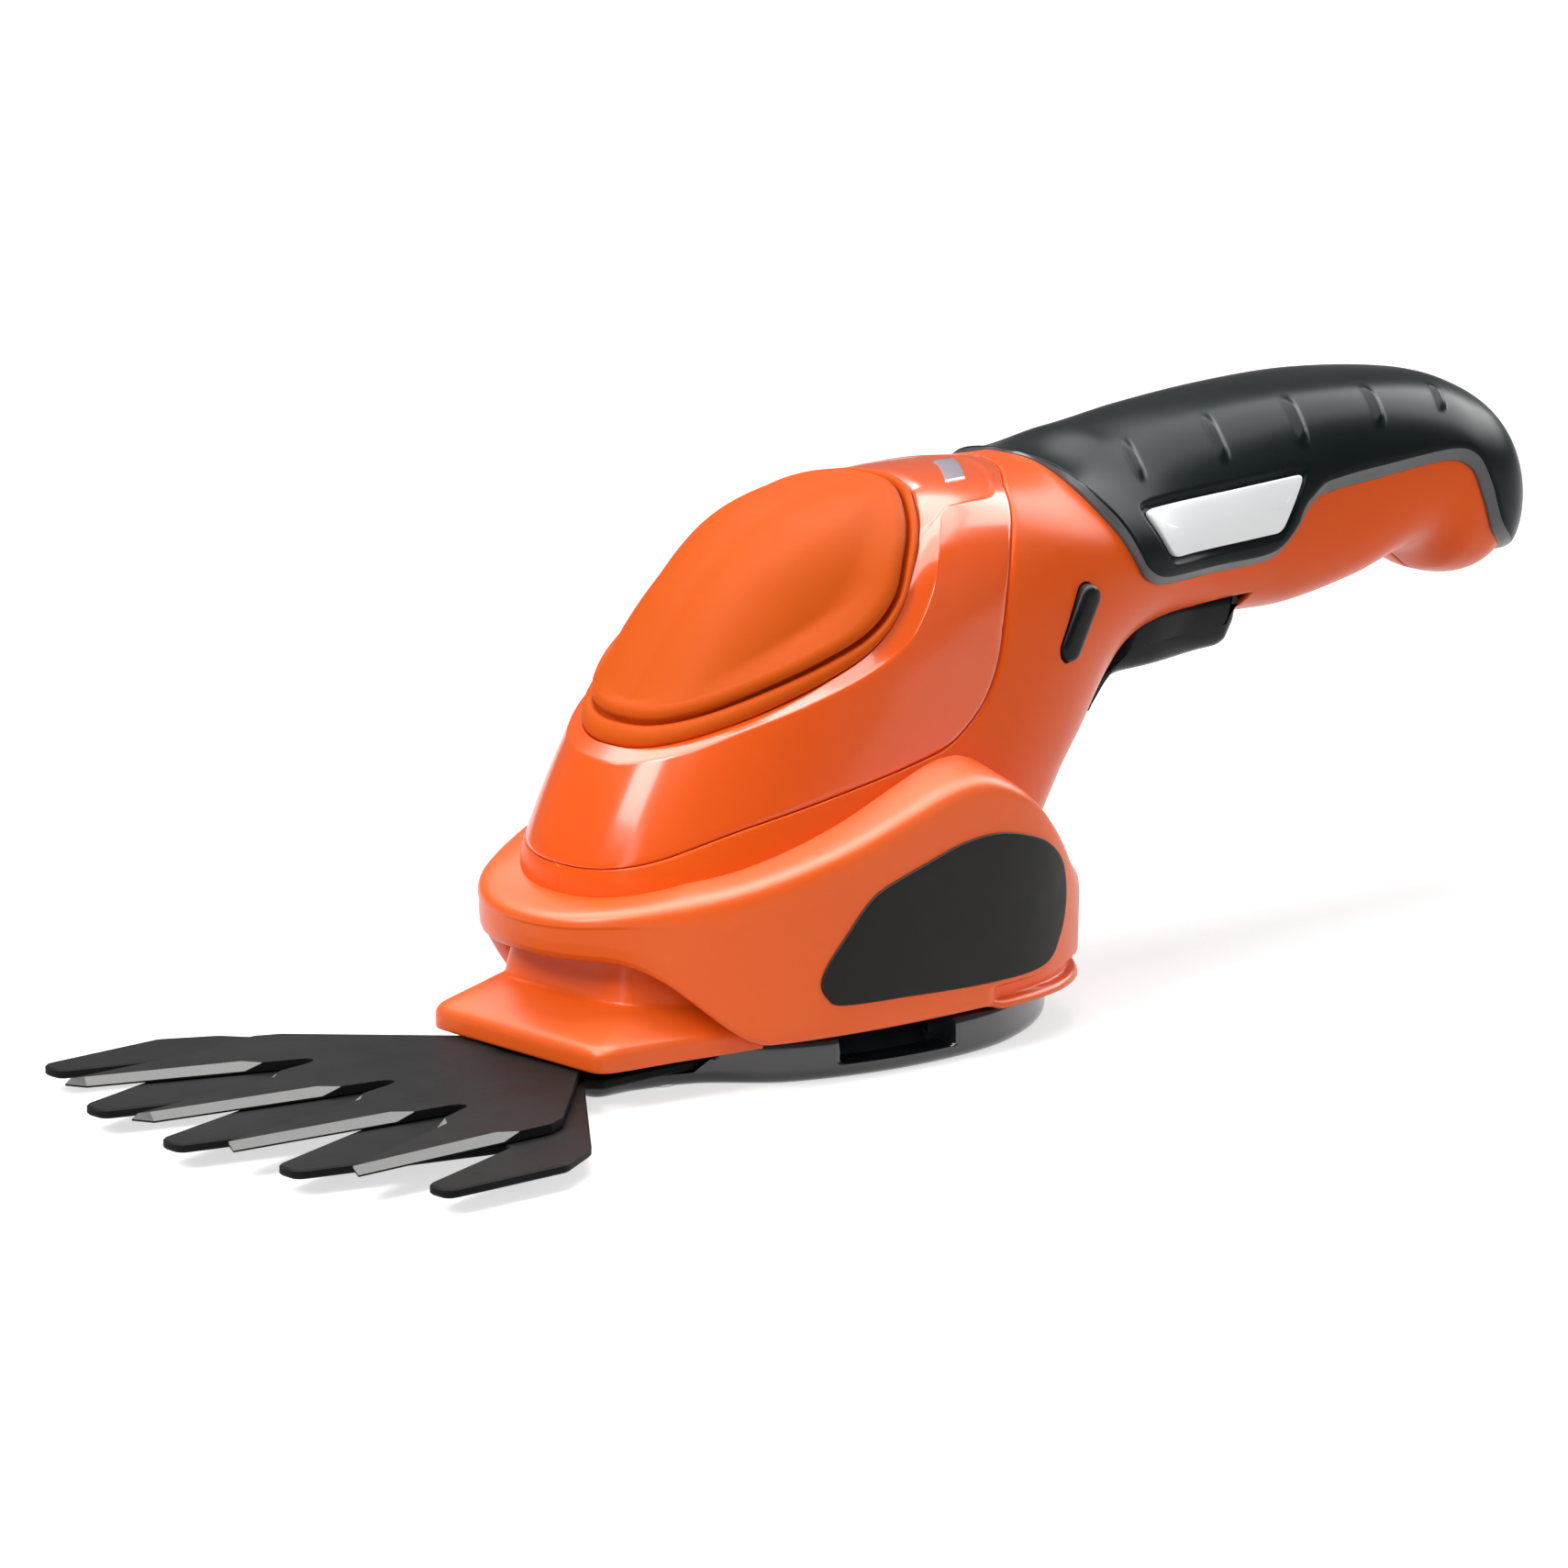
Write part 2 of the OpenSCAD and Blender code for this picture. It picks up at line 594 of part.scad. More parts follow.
// Ribs and bosses inside the handle and the tower
module inner_frame() {
    translate([shelf_x - 4, -40, shelf_z])
        cube([8, 80, 1.5]);
    translate([shelf_x - 3, -40, shelf_z])
        cube([2.5, 80, 40]);
    translate([cell_x + cell_len - 14, -40, handle_under_z - 10])
        cube([2.5, 80, 60]);
    for (p = case_places)
        translate([p[0], 40, p[1]])
            rotate([90, 0, 0])
                cylinder(r = head_r + 1.6, h = 80);
    for (s = [-1, 1])
        translate([trigger_x, s * (trigger_half_w + 0.7 + 15), trigger_z])
            rotate([90, 0, 0])
                cylinder(r = 3.2, h = 30, center = true);
}

module stadium(w, h) {
    hull() {
        translate([0, (h - w) / 2])
            circle(d = w, $fn = 32);
        translate([0, (w - h) / 2])
            circle(d = w, $fn = 32);
    }
}
module button_bar(room, y0, y1) {
    translate([button_x, y1, button_z])
        rotate([90, 0, 0])
            rotate(-button_lean)
                linear_extrude(y1 - y0)
                    stadium(button_w + 2 * room, button_h + 2 * room);
}

// Side view of the trigger, about its pin
trigger_edge = [
    [-6.5, -13], [-2, -10.2], [6, -8.3], [24, -6.5], [32.5, -4.5], [35, room_share],
    [33, 3 * room_share], [4, 4 * room_share], [-3, 2.5 * room_share], [-6, -5]
];
trigger_slot = [[-8, -20], [-8, -7], [-4, 5], [37, 5], [37, -12], [10, -20]];

module body_half(sign) {
    difference() {
        union() {
            intersection() {
                difference() {
                    body_wall();
                    hood_zone(gap);
                }
                half_space(sign);
            }
            intersection() {
                body_solid(-wall + 0.5);
                inner_frame();
                half_space(sign);
            }
        }
        translate([trigger_x, 0, trigger_z])
            side_slab(trigger_slot, -trigger_half_w - 0.4, trigger_half_w + 0.4);
        button_bar(gap, sign > 0 ? 10 : -40, sign > 0 ? 40 : -10);
        translate([cell_x - 4, 0, cell_z])
            rotate([0, 90, 0])
                cylinder(r = cell_r + gap, h = cell_len + 5);
        translate([socket_x, 0, handle_under_z - 8])
            cylinder(r = socket_r + 2.4, h = 22);
        translate([trigger_x, trigger_half_w + 5, trigger_z])
            rotate([90, 0, 0])
                cylinder(r = pin_r + 0.02, h = 2 * trigger_half_w + 10);
        for (p = case_places)
            translate([p[0], 40, p[1]])
                rotate([90, 0, 0]) {
                    cylinder(r = screw_r + 0.1, h = 52);
                    cylinder(r = head_r + 0.2, h = 40 - head_y);
                }
    }
}
pin_r = 1.5;
head_y = 9;

module left_body_shell() {
    color(ORANGE) body_half(-1);
}

module right_body_shell() {
    color(ORANGE) body_half(1);
}

lens_x = neck_x - 11;
lens_len = 9;
lens_half_w = 7;
module lens_block(room) {
    translate([lens_x - lens_len / 2 - room, -lens_half_w - room, cap_z - 12])
        cube([lens_len + 2 * room, 2 * lens_half_w + 2 * room, 30]);
}

module hood() {
    color(ORANGE) difference() {
        intersection() {
            body_wall();
            hood_zone();
        }
        cap_zone(gap);
        lens_block(gap / 2);
    }
}

module top_cap() {
    color("#ef6a28") intersection() {
        body_wall();
        cap_zone();
    }
}

module indicator_lens() {
    color("#b9b4c4") intersection() {
        difference() {
            body_solid(0.1);
            body_solid(-1.6);
        }
        lens_block(0);
    }
}

module grip_cover() {
    far = [[handle_reach + 8, handle_z + 20], [neck_x - 0.6, handle_z + 20]];
    color(BLACK) intersection() {
        difference() {
            body_solid(cover_t);
            body_solid(gap / 2);
        }
        side_slab(concat(curve(cover_edge, 3), far));
    }
}

module label_plate(sign) {
    color("#eceef0") difference() {
        intersection() {
            body_solid(cover_t + plate_t);
            side_slab(label_edge, sign > 0 ? 6 : -40, sign > 0 ? 40 : -6);
        }
        body_solid(cover_t + 0.05);
    }
}

module left_label_plate() {
    label_plate(-1);
}

module right_label_plate() {
    label_plate(1);
}

// Thin plate over the side of the skirt, swept along X
badge_lift = 0.25;
function skirt_y(x, z, out) =
    let (
        share = (z - skirt_z) / (crest_at(x) - skirt_z),
        inset = lookup(share, [for (i = [len(skirt_outer) - 1 : -1 : 0]) skirt_outer[i]]) - out,
        power = x < skirt_mid ? 2.3 : 2.6,
        reach = x < skirt_mid ? skirt_mid + skirt_front - inset : skirt_rear - skirt_mid - inset
    )
    (skirt_half_w - inset) * pow(1 - pow(abs(x - skirt_mid) / reach, power), 1 / power);
function badge_ring(x) =
    let (heights = [for (i = [0 : 4]) mix(lookup(x, badge_low), lookup(x, badge_high), i / 4)])
    concat(
        [for (i = [0 : 4]) [x, skirt_y(x, heights[i], plate_t + badge_lift), heights[i]]],
        [for (i = [4 : -1 : 0]) [x, skirt_y(x, heights[i], badge_lift), heights[i]]]
    );
module side_badge() {
    steps = 15;
    color("#32312f") intersection() {
        loft([for (i = [0 : steps]) badge_ring(mix(badge_low[0][0], badge_low[3][0], i / steps))]);
        half_space(1);
    }
}

module left_side_badge() {
    mirror([0, 1, 0])
        side_badge();
}

module right_side_badge() {
    side_badge();
}

// The button's ends stand out of the neck's walls; a slim rod joins them
button_out = body_half_w - 2.9 + button_proud;
module lock_off_button() {
    color("#15171a") {
        button_bar(0, -button_out, -button_out + 9);
        button_bar(0, button_out - 9, button_out);
        translate([button_x, button_out - 4, button_z])
            rotate([90, 0, 0])
                cylinder(r = button_w / 2 - 0.2, h = 2 * button_out - 8);
    }
}

module trigger() {
    color("#1b1d20") difference() {
        translate([trigger_x, 0, trigger_z])
            side_slab(trigger_edge, -trigger_half_w, trigger_half_w);
        translate([trigger_x, trigger_half_w + 2, trigger_z])
            rotate([90, 0, 0])
                cylinder(r = pin_r + running, h = 2 * trigger_half_w + 4);
    }
}

module trigger_pin() {
    color(STEEL) translate([trigger_x, trigger_half_w + 4.5, trigger_z])
        rotate([90, 0, 0])
            cylinder(r = pin_r, h = 2 * trigger_half_w + 9);
}

module gear_plate() {
    loop = [for (angle = [0 : 7.5 : 359]) skirt_plan(angle, 1.6 + wall + gap)];
    color("#8d9196") difference() {
        union() {
            intersection() {
                translate([0, 0, skirt_z])
                    linear_extrude(plate_thick)
                        polygon(loop);
                translate([-20 + gap, -60, 0])
                    cube([120, 120, 60]);
            }
            for (p = post_places, s = [-1, 1])
                translate([p[0], s * p[1], skirt_z])
                    cylinder(r = 3, h = motor_plate_z - skirt_z);
        }
        translate([0, 0, skirt_z - 1])
            cylinder(r = spindle_r + 2.02, h = plate_thick + 2);
        translate([idler_x, 0, skirt_z - 1])
            cylinder(r = axle_r + 0.02, h = plate_thick + 2);
        for (s = [-1, 1])
            translate([sole_places[1][0], s * sole_places[1][1], skirt_z - 1])
                cylinder(r = screw_r + 0.1, h = plate_thick + 2);
    }
}

module crank_bush() {
    low = disc_z + disc_t + gap;
    color("#b08d57") translate([0, 0, low]) difference() {
        cylinder(r = spindle_r + 2, h = crank_z - gap - low);
        translate([0, 0, -1])
            cylinder(r = spindle_r + running, h = 10);
    }
}

module crank_gear() {
    color("#d8d4c8") difference() {
        union() {
            translate([0, 0, crank_z])
                gear(gear_teeth);
            translate([0, 0, disc_z])
                cylinder(r = spindle_r, h = crank_z - disc_z + 1);
            translate([0, 0, disc_z])
                cylinder(r = crank_throw + crank_pin_r + 0.8, h = disc_t);
        }
        translate([crank_throw, 0, disc_z - 1])
            cylinder(r = crank_pin_r + 0.01, h = disc_t + 0.5);
    }
}

module crank_pin() {
    low = cutter_z - 0.4;
    color(STEEL) translate([crank_throw, 0, low])
        cylinder(r = crank_pin_r, h = disc_z + disc_t - 0.5 - low);
}

module idler_gear() {
    color("#e6e2d6") difference() {
        translate([idler_x, 0, 0]) {
            translate([0, 0, idler_z])
                gear(gear_teeth, 180 / gear_teeth);
            translate([0, 0, crank_z])
                gear(pinion_teeth, 180 / pinion_teeth);
            translate([0, 0, crank_z + 1])
                cylinder(r = pinion_r - 1.2 * gear_module, h = idler_z - crank_z);
        }
        translate([idler_x, 0, crank_z - 1])
            cylinder(r = axle_r + running, h = 20);
    }
}

module idler_axle() {
    color(STEEL) translate([idler_x, 0, skirt_z + 0.2])
        cylinder(r = axle_r, h = motor_z - 0.2 - skirt_z - 0.2);
}

module motor_plate() {
    half = 20;
    color("#8d9196") difference() {
        translate([0, 0, motor_plate_z])
            linear_extrude(motor_plate_t)
                polygon([[-18, -15], [-13, -half], [31, -half], [36, -15], [36, 15], [31, half], [-13, half], [-18, 15]]);
        translate([0, 0, motor_plate_z - 1])
            cylinder(r = 5, h = 5);
        translate([idler_x, 0, motor_plate_z - 1])
            cylinder(r = axle_r + 0.02, h = 5);
        for (s = [-1, 1])
            translate([0, s * motor_hole_r, motor_plate_z - 1])
                cylinder(r = screw_r + 0.1, h = 5);
    }
}

can_t = 1.2;
module motor_can() {
    color("#a9adb2") difference() {
        union() {
            translate([0, 0, motor_z])
                cylinder(r = motor_r, h = motor_len);
            translate([0, 0, motor_plate_z])
                cylinder(r = 4.9, h = 5);
        }
        translate([0, 0, motor_z + 2])
            cylinder(r = motor_r - can_t, h = motor_len);
        translate([0, 0, motor_plate_z - 1])
            cylinder(r = shaft_r + running, h = 20);
        for (s = [-1, 1])
            translate([0, s * motor_hole_r, motor_z - 1])
                cylinder(r = screw_r + 0.1, h = 4);
    }
}

magnet_t = 2;
module motor_magnets() {
    color("#4a4c50") difference() {
        translate([0, 0, motor_z + 5])
            cylinder(r = motor_r - can_t - 0.05, h = motor_len - 14);
        translate([0, 0, motor_z])
            cylinder(r = motor_r - can_t - magnet_t, h = motor_len);
        translate([0, 0, motor_z + motor_len / 2])
            cube([12, 60, motor_len], center = true);
    }
}

cap_h = 4;
module motor_end_cap() {
    color("#e8e8e4") difference() {
        translate([0, 0, motor_top])
            cylinder(r = motor_r, h = cap_h);
        translate([0, 0, motor_top - 1])
            cylinder(r = shaft_r + running, h = cap_h + 2);
        translate([0, 0, motor_top - 1])
            cylinder(r = motor_r - 3, h = cap_h - 1);
    }
}

module rotor() {
    core_r = motor_r - can_t - magnet_t - 0.8;
    color("#9a6a3a") {
        translate([0, 0, idler_z - 0.2])
            cylinder(r = shaft_r, h = motor_top + cap_h + 0.5 - idler_z);
        difference() {
            translate([0, 0, motor_z + 6])
                cylinder(r = core_r, h = motor_len - 16);
            for (a = [0, 120, 240])
                rotate(a)
                    translate([core_r - 2, -1, motor_z + 5])
                        cube([4, 2, motor_len]);
        }
        translate([0, 0, motor_z + motor_len - 10])
            cylinder(r = 3.5, h = 7);
    }
}

module motor_pinion() {
    color("#c9a45c") difference() {
        translate([0, 0, idler_z])
            gear(pinion_teeth);
        translate([0, 0, idler_z - 1])
            cylinder(r = shaft_r + 0.01, h = face_w + 2);
    }
}

module battery_cell() {
    color("#3f7fae") translate([cell_x, 0, cell_z])
        rotate([0, 90, 0])
            cylinder(r = cell_r, h = cell_len);
}

tab_t = 0.3;
module contact_tabs() {
    color(STEEL) for (x = [cell_x - tab_t, cell_x + cell_len])
        translate([x, -3, cell_z - 5])
            cube([tab_t, 6, 10]);
}

board_t = 1.6;
module circuit_board() {
    color("#2f6b3c") translate([cell_x - tab_t - gap - board_t, -9, cell_z - 12 * room_share]) {
        cube([board_t, 18, 22 * room_share]);
        translate([-3, 5, 4 * room_share])
            cube([3.5, 6, 5]);
        translate([-2, 3, 12 * room_share])
            cube([2.5, 8, 5]);
    }
}

switch_x = shelf_x - 4 - gap - 13;
switch_z = trigger_z + 6.7 * room_share;
switch_top = cell_z - cell_r - gap;
plunger_x = trigger_x + 17.5;
plunger_r = 1.2;
plunger_len = 3.5;
module micro_switch() {
    color("#2a2a2c") difference() {
        translate([switch_x, -3.2, switch_z])
            cube([13, 6.4, switch_top - switch_z]);
        translate([plunger_x, 0, switch_z - 1])
            cylinder(r = plunger_r + running, h = 5);
    }
}

module switch_plunger() {
    color("#c43a2e") translate([plunger_x, 0, trigger_z + 3.55 * room_share + gap])
        cylinder(r = plunger_r, h = plunger_len);
}

module charge_socket() {
    low = handle_under_z + 0.3;
    color("#1b1d20") difference() {
        translate([socket_x, 0, low])
            cylinder(r = socket_r + 2.1, h = socket_depth + 2);
        translate([socket_x, 0, low - 1])
            cylinder(r = socket_r, h = socket_depth + 1);
    }
}

// Two leads from the motor's end cap to the board, each a chain of round runs
module motor_leads() {
    for (s = [-1, 1]) {
        route = [
            [5, 5 * s, motor_top + cap_h + 0.1], [5, 5 * s, motor_top + cap_h + 3], [8, 5 * s, motor_top + cap_h + 8],
            [16, 5 * s, motor_top + cap_h + 12], [28, 6 * s, motor_top + cap_h + 15], [42, 6 * s, min(cell_z + 5 * room_share, cap_z - 8.5)],
            [56, 6 * s, min(cell_z + 7 * room_share, cap_z - 6.5)], [70, 6 * s, min(cell_z + 7.4 * room_share, cap_z - 6.1)],
            [cell_x - tab_t - gap - board_t - 0.05, 6 * s, cell_z + 7 * room_share]
        ];
        color(s > 0 ? "#b3261e" : "#202224") tube(curve(route, 2), 0.7, 8);
    }
}

module screw_along_y(x, z) {
    translate([x, 0, z])
        rotate([-90, 0, 0]) {
            translate([0, 0, -10])
                cylinder(r = screw_r, h = 10 + head_y);
            difference() {
                translate([0, 0, head_y])
                    cylinder(r = head_r, h = 2);
                translate([0, 0, head_y + 1.7])
                    cube([0.8, 3.6, 1.6], center = true);
                translate([0, 0, head_y + 1.7])
                    cube([3.6, 0.8, 1.6], center = true);
            }
        }
}
module case_screws() {
    color("#6d7074") for (p = case_places)
        screw_along_y(p[0], p[1]);
}

module sole_screws() {
    color("#6d7074") for (p = sole_places, s = [-1, 1])
        translate([p[0], s * p[1], 0.2]) {
            cylinder(r = screw_r, h = skirt_z + 2);
            difference() {
                cylinder(r = head_r, h = 0.8);
                translate([0, 0, 0])
                    cube([3.6, 0.8, 0.8], center = true);
                translate([0, 0, 0])
                    cube([0.8, 3.6, 0.8], center = true);
            }
        }
}

module motor_screws() {
    color("#6d7074") for (s = [-1, 1])
        translate([0, s * motor_hole_r, motor_plate_z - 1.4]) {
            cylinder(r = screw_r, h = motor_plate_t + 3);
            cylinder(r = head_r, h = 1.4);
        }
}

comb_blade();
cutter_blade();
blade_pivot();
pivot_washer();
sole_plate();
base_housing();
nose_guard();
left_body_shell();
right_body_shell();
hood();
top_cap();
grip_cover();
left_label_plate();
right_label_plate();
left_side_badge();
right_side_badge();
indicator_lens();
lock_off_button();
trigger();
trigger_pin();
gear_plate();
crank_bush();
crank_gear();
crank_pin();
idler_gear();
idler_axle();
motor_plate();
motor_can();
motor_magnets();
motor_end_cap();
rotor();
motor_pinion();
battery_cell();
contact_tabs();
circuit_board();
micro_switch();
switch_plunger();
charge_socket();
motor_leads();
case_screws();
sole_screws();
motor_screws();
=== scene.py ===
import math

import bmesh
import bpy
import numpy as np
from mathutils import Matrix, Vector


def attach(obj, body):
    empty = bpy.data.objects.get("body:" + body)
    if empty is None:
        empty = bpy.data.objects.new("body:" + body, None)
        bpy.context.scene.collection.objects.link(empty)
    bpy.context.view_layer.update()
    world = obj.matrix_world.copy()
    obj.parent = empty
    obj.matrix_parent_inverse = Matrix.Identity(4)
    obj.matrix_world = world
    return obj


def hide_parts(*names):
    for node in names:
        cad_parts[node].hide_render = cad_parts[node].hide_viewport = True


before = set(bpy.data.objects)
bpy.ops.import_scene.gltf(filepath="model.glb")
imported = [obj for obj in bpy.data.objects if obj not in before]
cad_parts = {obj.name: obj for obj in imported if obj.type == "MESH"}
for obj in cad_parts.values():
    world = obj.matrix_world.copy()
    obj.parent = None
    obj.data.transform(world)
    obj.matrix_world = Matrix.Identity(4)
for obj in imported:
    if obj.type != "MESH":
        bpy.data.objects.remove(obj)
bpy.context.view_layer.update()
MM = 0.001

# Sizes in millimetres
TOWER_FRONT, TOWER_REAR, BODY_HALF = 40.5, 56.0, 28.5
LIP_Z, SKIRT_Z = 31.0, 8.0
SKIRT_FRONT, SKIRT_REAR, SKIRT_HALF, SKIRT_MID = 49.0, 60.0, 36.0, 20.0
CAP_Z, NECK_X = 93.0, 56.0
HANDLE_Z, UNDER_Z, HANDLE_HALF, HANDLE_REACH = 95.3, 58.0, 17.5, 174.5
GRIP = HANDLE_REACH - NECK_X
COVER_T = 1.8
PIVOT_X, FORK_HALF = -38.0, 10.1
COMB_Z, CUTTER_Z, BEVEL_Z = (2.8, 4.4), (4.7, 6.2), 5.0
TRIGGER, TRIGGER_HALF = (80.0, 57.5), 12.5
BUTTON, BUTTON_SIZE, BUTTON_LEAN = (52.2, 67.3), (4.5, 13.6), -28


# Curves and the body surface

def smooth(rows, t):
    """Curve through rows (n, k) at the places t, counted in rows."""
    rows = np.asarray(rows, float)
    t = np.asarray(t, float)
    last = len(rows) - 1
    i = np.clip(np.floor(t).astype(int), 0, last - 1)
    f = (t - i)[..., None]
    p0, p1 = rows[np.maximum(i - 1, 0)], rows[i]
    p2, p3 = rows[i + 1], rows[np.minimum(i + 2, last)]
    return 0.5 * (2 * p1 + (p2 - p0) * f + (2 * p0 - 5 * p1 + 4 * p2 - p3) * f ** 2
                  + (3 * p1 - p0 - 3 * p2 + p3) * f ** 3)


def spread(rows, points, n):
    """n rows at even distances along the line of points that belong to rows."""
    length = np.concatenate([[0], np.cumsum(np.linalg.norm(np.diff(points, axis=0), axis=1))])
    places = np.linspace(0, length[-1], n)
    return np.stack([np.interp(places, length, column) for column in rows.T], 1)


def resample(points, n, steps=24):
    """n points at even distances along the smooth curve through points."""
    fine = smooth(points, np.linspace(0, len(points) - 1, (len(points) - 1) * steps + 1))
    return spread(fine, fine, n)


def smoothstep(x, a, b):
    t = np.clip((x - a) / (b - a), 0, 1)
    return t * t * (3 - 2 * t)


def window(x, rise, fall):
    """1 between a soft rise and a soft fall, 0 outside."""
    return smoothstep(x, *rise) * (1 - smoothstep(x, *fall))


def spow(v, e):
    return np.sign(v) * np.abs(v) ** e


# Each row of the body: front or top point (x, z), rear or under point (x, z), half width, section power
ROWS = np.array([
    [-TOWER_FRONT + 0.5, LIP_Z - 4, TOWER_REAR - 3, SKIRT_Z + 3, BODY_HALF - 0.5, 2.4],
    [-TOWER_FRONT, LIP_Z + 1.5, TOWER_REAR, SKIRT_Z + 20, BODY_HALF, 2.4],
    [-TOWER_FRONT + 1, 38, TOWER_REAR + 6.5, UNDER_Z - 18, BODY_HALF, 2.4],
    [-TOWER_FRONT + 7, 50, TOWER_REAR + 11.7, UNDER_Z - 11.5, BODY_HALF - 0.5, 2.4],
    [-TOWER_FRONT + 15.5, CAP_Z - 30, TOWER_REAR + 14.8, UNDER_Z - 7.2, BODY_HALF - 1, 2.4],
    [NECK_X - 68, CAP_Z - 15, NECK_X + 17.6, UNDER_Z - 3.6, BODY_HALF - 1.5, 2.4],
    [NECK_X - 51, CAP_Z - 4, NECK_X + 20.8, UNDER_Z - 0.8, BODY_HALF - 2.5, 2.4],
    [NECK_X - 26, CAP_Z, NECK_X + 25.2, UNDER_Z + 1.2, BODY_HALF - 4.5, 2.4],
    [NECK_X, CAP_Z - 1.2, NECK_X + 32, UNDER_Z + 0.9, HANDLE_HALF + 4, 2.05],
    [NECK_X + 0.15 * GRIP, HANDLE_Z - 2.7, NECK_X + 0.35 * GRIP, UNDER_Z, HANDLE_HALF + 1.5, 2.05],
    [NECK_X + 0.3 * GRIP, HANDLE_Z - 0.9, NECK_X + 0.445 * GRIP, UNDER_Z - 0.2, HANDLE_HALF + 0.5, 2.2],
    [NECK_X + 0.47 * GRIP, HANDLE_Z, NECK_X + 0.53 * GRIP, UNDER_Z, HANDLE_HALF, 2.5],
    [NECK_X + 0.64 * GRIP, HANDLE_Z - 0.3, NECK_X + 0.64 * GRIP, UNDER_Z + 2.5, HANDLE_HALF, 2.8],
    [HANDLE_REACH - 25, HANDLE_Z - 1.9, HANDLE_REACH - 27, UNDER_Z + 5.6, HANDLE_HALF, 2.4],
    [HANDLE_REACH - 15.0, HANDLE_Z - 4.3, HANDLE_REACH - 17.0, UNDER_Z + 0.2, HANDLE_HALF - 0.3, 2.2],
    [HANDLE_REACH - 6.5, HANDLE_Z - 9.3, HANDLE_REACH - 9.0, UNDER_Z - 0.6, HANDLE_HALF - 2.5, 2.2],
    [HANDLE_REACH - 1.5, HANDLE_Z - 18.3, HANDLE_REACH - 2.5, UNDER_Z + 3, HANDLE_HALF - 8, 2.2],
    [HANDLE_REACH, HANDLE_Z - 22, HANDLE_REACH - 0.5, UNDER_Z + 8, HANDLE_HALF - 13.5, 2.2],
])
LAST = len(ROWS) - 1.0


def section(t):
    """Middle (x, z), half length, direction to the front or top, half width and power at row places t."""
    r = smooth(ROWS, t)
    pa, pb = r[..., 0:2], r[..., 2:4]
    half = np.linalg.norm(pa - pb, axis=-1) / 2
    return (pa + pb) / 2, half, (pa - pb) / (2 * half[..., None]), r[..., 4], r[..., 5]


def surface(t, a):
    """Points of the body surface at row place t and angle a from the front or top line, on the left side."""
    t, a = np.broadcast_arrays(np.asarray(t, float), np.asarray(a, float))
    mid, half, way, width, power = section(t)
    q = mid + way * (half * spow(np.cos(a), 2 / power))[..., None]
    return np.stack([q[..., 0], -width * spow(np.sin(a), 2 / power), q[..., 1]], -1)


def at(ta):
    """Points of the body surface at an array of (t, a)."""
    return surface(ta[..., 0], ta[..., 1])


def on_middle(a):
    """True where an angle lies on the middle line of the body."""
    return (a < 1e-6) | (a > math.pi - 1e-6)


def normal(t, a):
    """Outward unit directions of the body surface."""
    step, off_middle = 2e-3, 0.012
    t, a = np.broadcast_arrays(np.asarray(t, float), np.asarray(a, float))
    t0, t1 = np.clip(t - 5 * step, 0, LAST), np.clip(t + 5 * step, 0, LAST)
    du = surface(t1, a) - surface(t0, a)
    am = np.clip(a, off_middle, math.pi - off_middle)
    dv = surface(t, am + step) - surface(t, am - step)
    n = np.cross(du, dv)
    mid = section(t)[0]
    mid = np.stack([mid[..., 0], 0 * t, mid[..., 1]], -1)
    flip = np.sign(np.sum(n * (surface(t, am) - mid), -1, keepdims=True))
    n = n * np.where(flip == 0, 1, flip)
    n[..., 1] = np.where(on_middle(a), 0, n[..., 1])
    return n / np.maximum(np.linalg.norm(n, axis=-1, keepdims=True), 1e-9)


def lifted(ta, height):
    """Points at an array of (t, a), raised by height off the body surface."""
    t, a = ta[..., 0], ta[..., 1]
    xyz = surface(t, a) + normal(t, a) * np.asarray(height)[..., None]
    xyz[..., 1] = np.where(on_middle(a), 0, xyz[..., 1])
    return xyz


def on_body(points, low, high):
    """Row place and angle of each side-view point (x, z), searched between two rows."""
    ts = np.linspace(low, high, 1601)
    mid, _, way, _, _ = section(ts)
    found, guess = [], None
    for p in np.asarray(points, float):
        d = p - mid
        miss = d[:, 0] * way[:, 1] - d[:, 1] * way[:, 0]
        hits = np.where(np.sign(miss[:-1]) != np.sign(miss[1:]))[0]
        if len(hits) == 0:
            t = ts[int(np.argmin(np.abs(miss)))]
        else:
            k = hits[0] if guess is None else hits[np.argmin(np.abs(ts[hits] - guess))]
            f = miss[k] / (miss[k] - miss[k + 1])
            t = ts[k] + f * (ts[k + 1] - ts[k])
        guess = t
        here, half, along, _, power = section(t)
        c = max(-1.0, min(1.0, float(np.dot(p - here, along) / half)))
        found.append((t, math.acos(np.sign(c) * abs(c) ** (power / 2))))
    return np.array(found)


# Mesh helpers

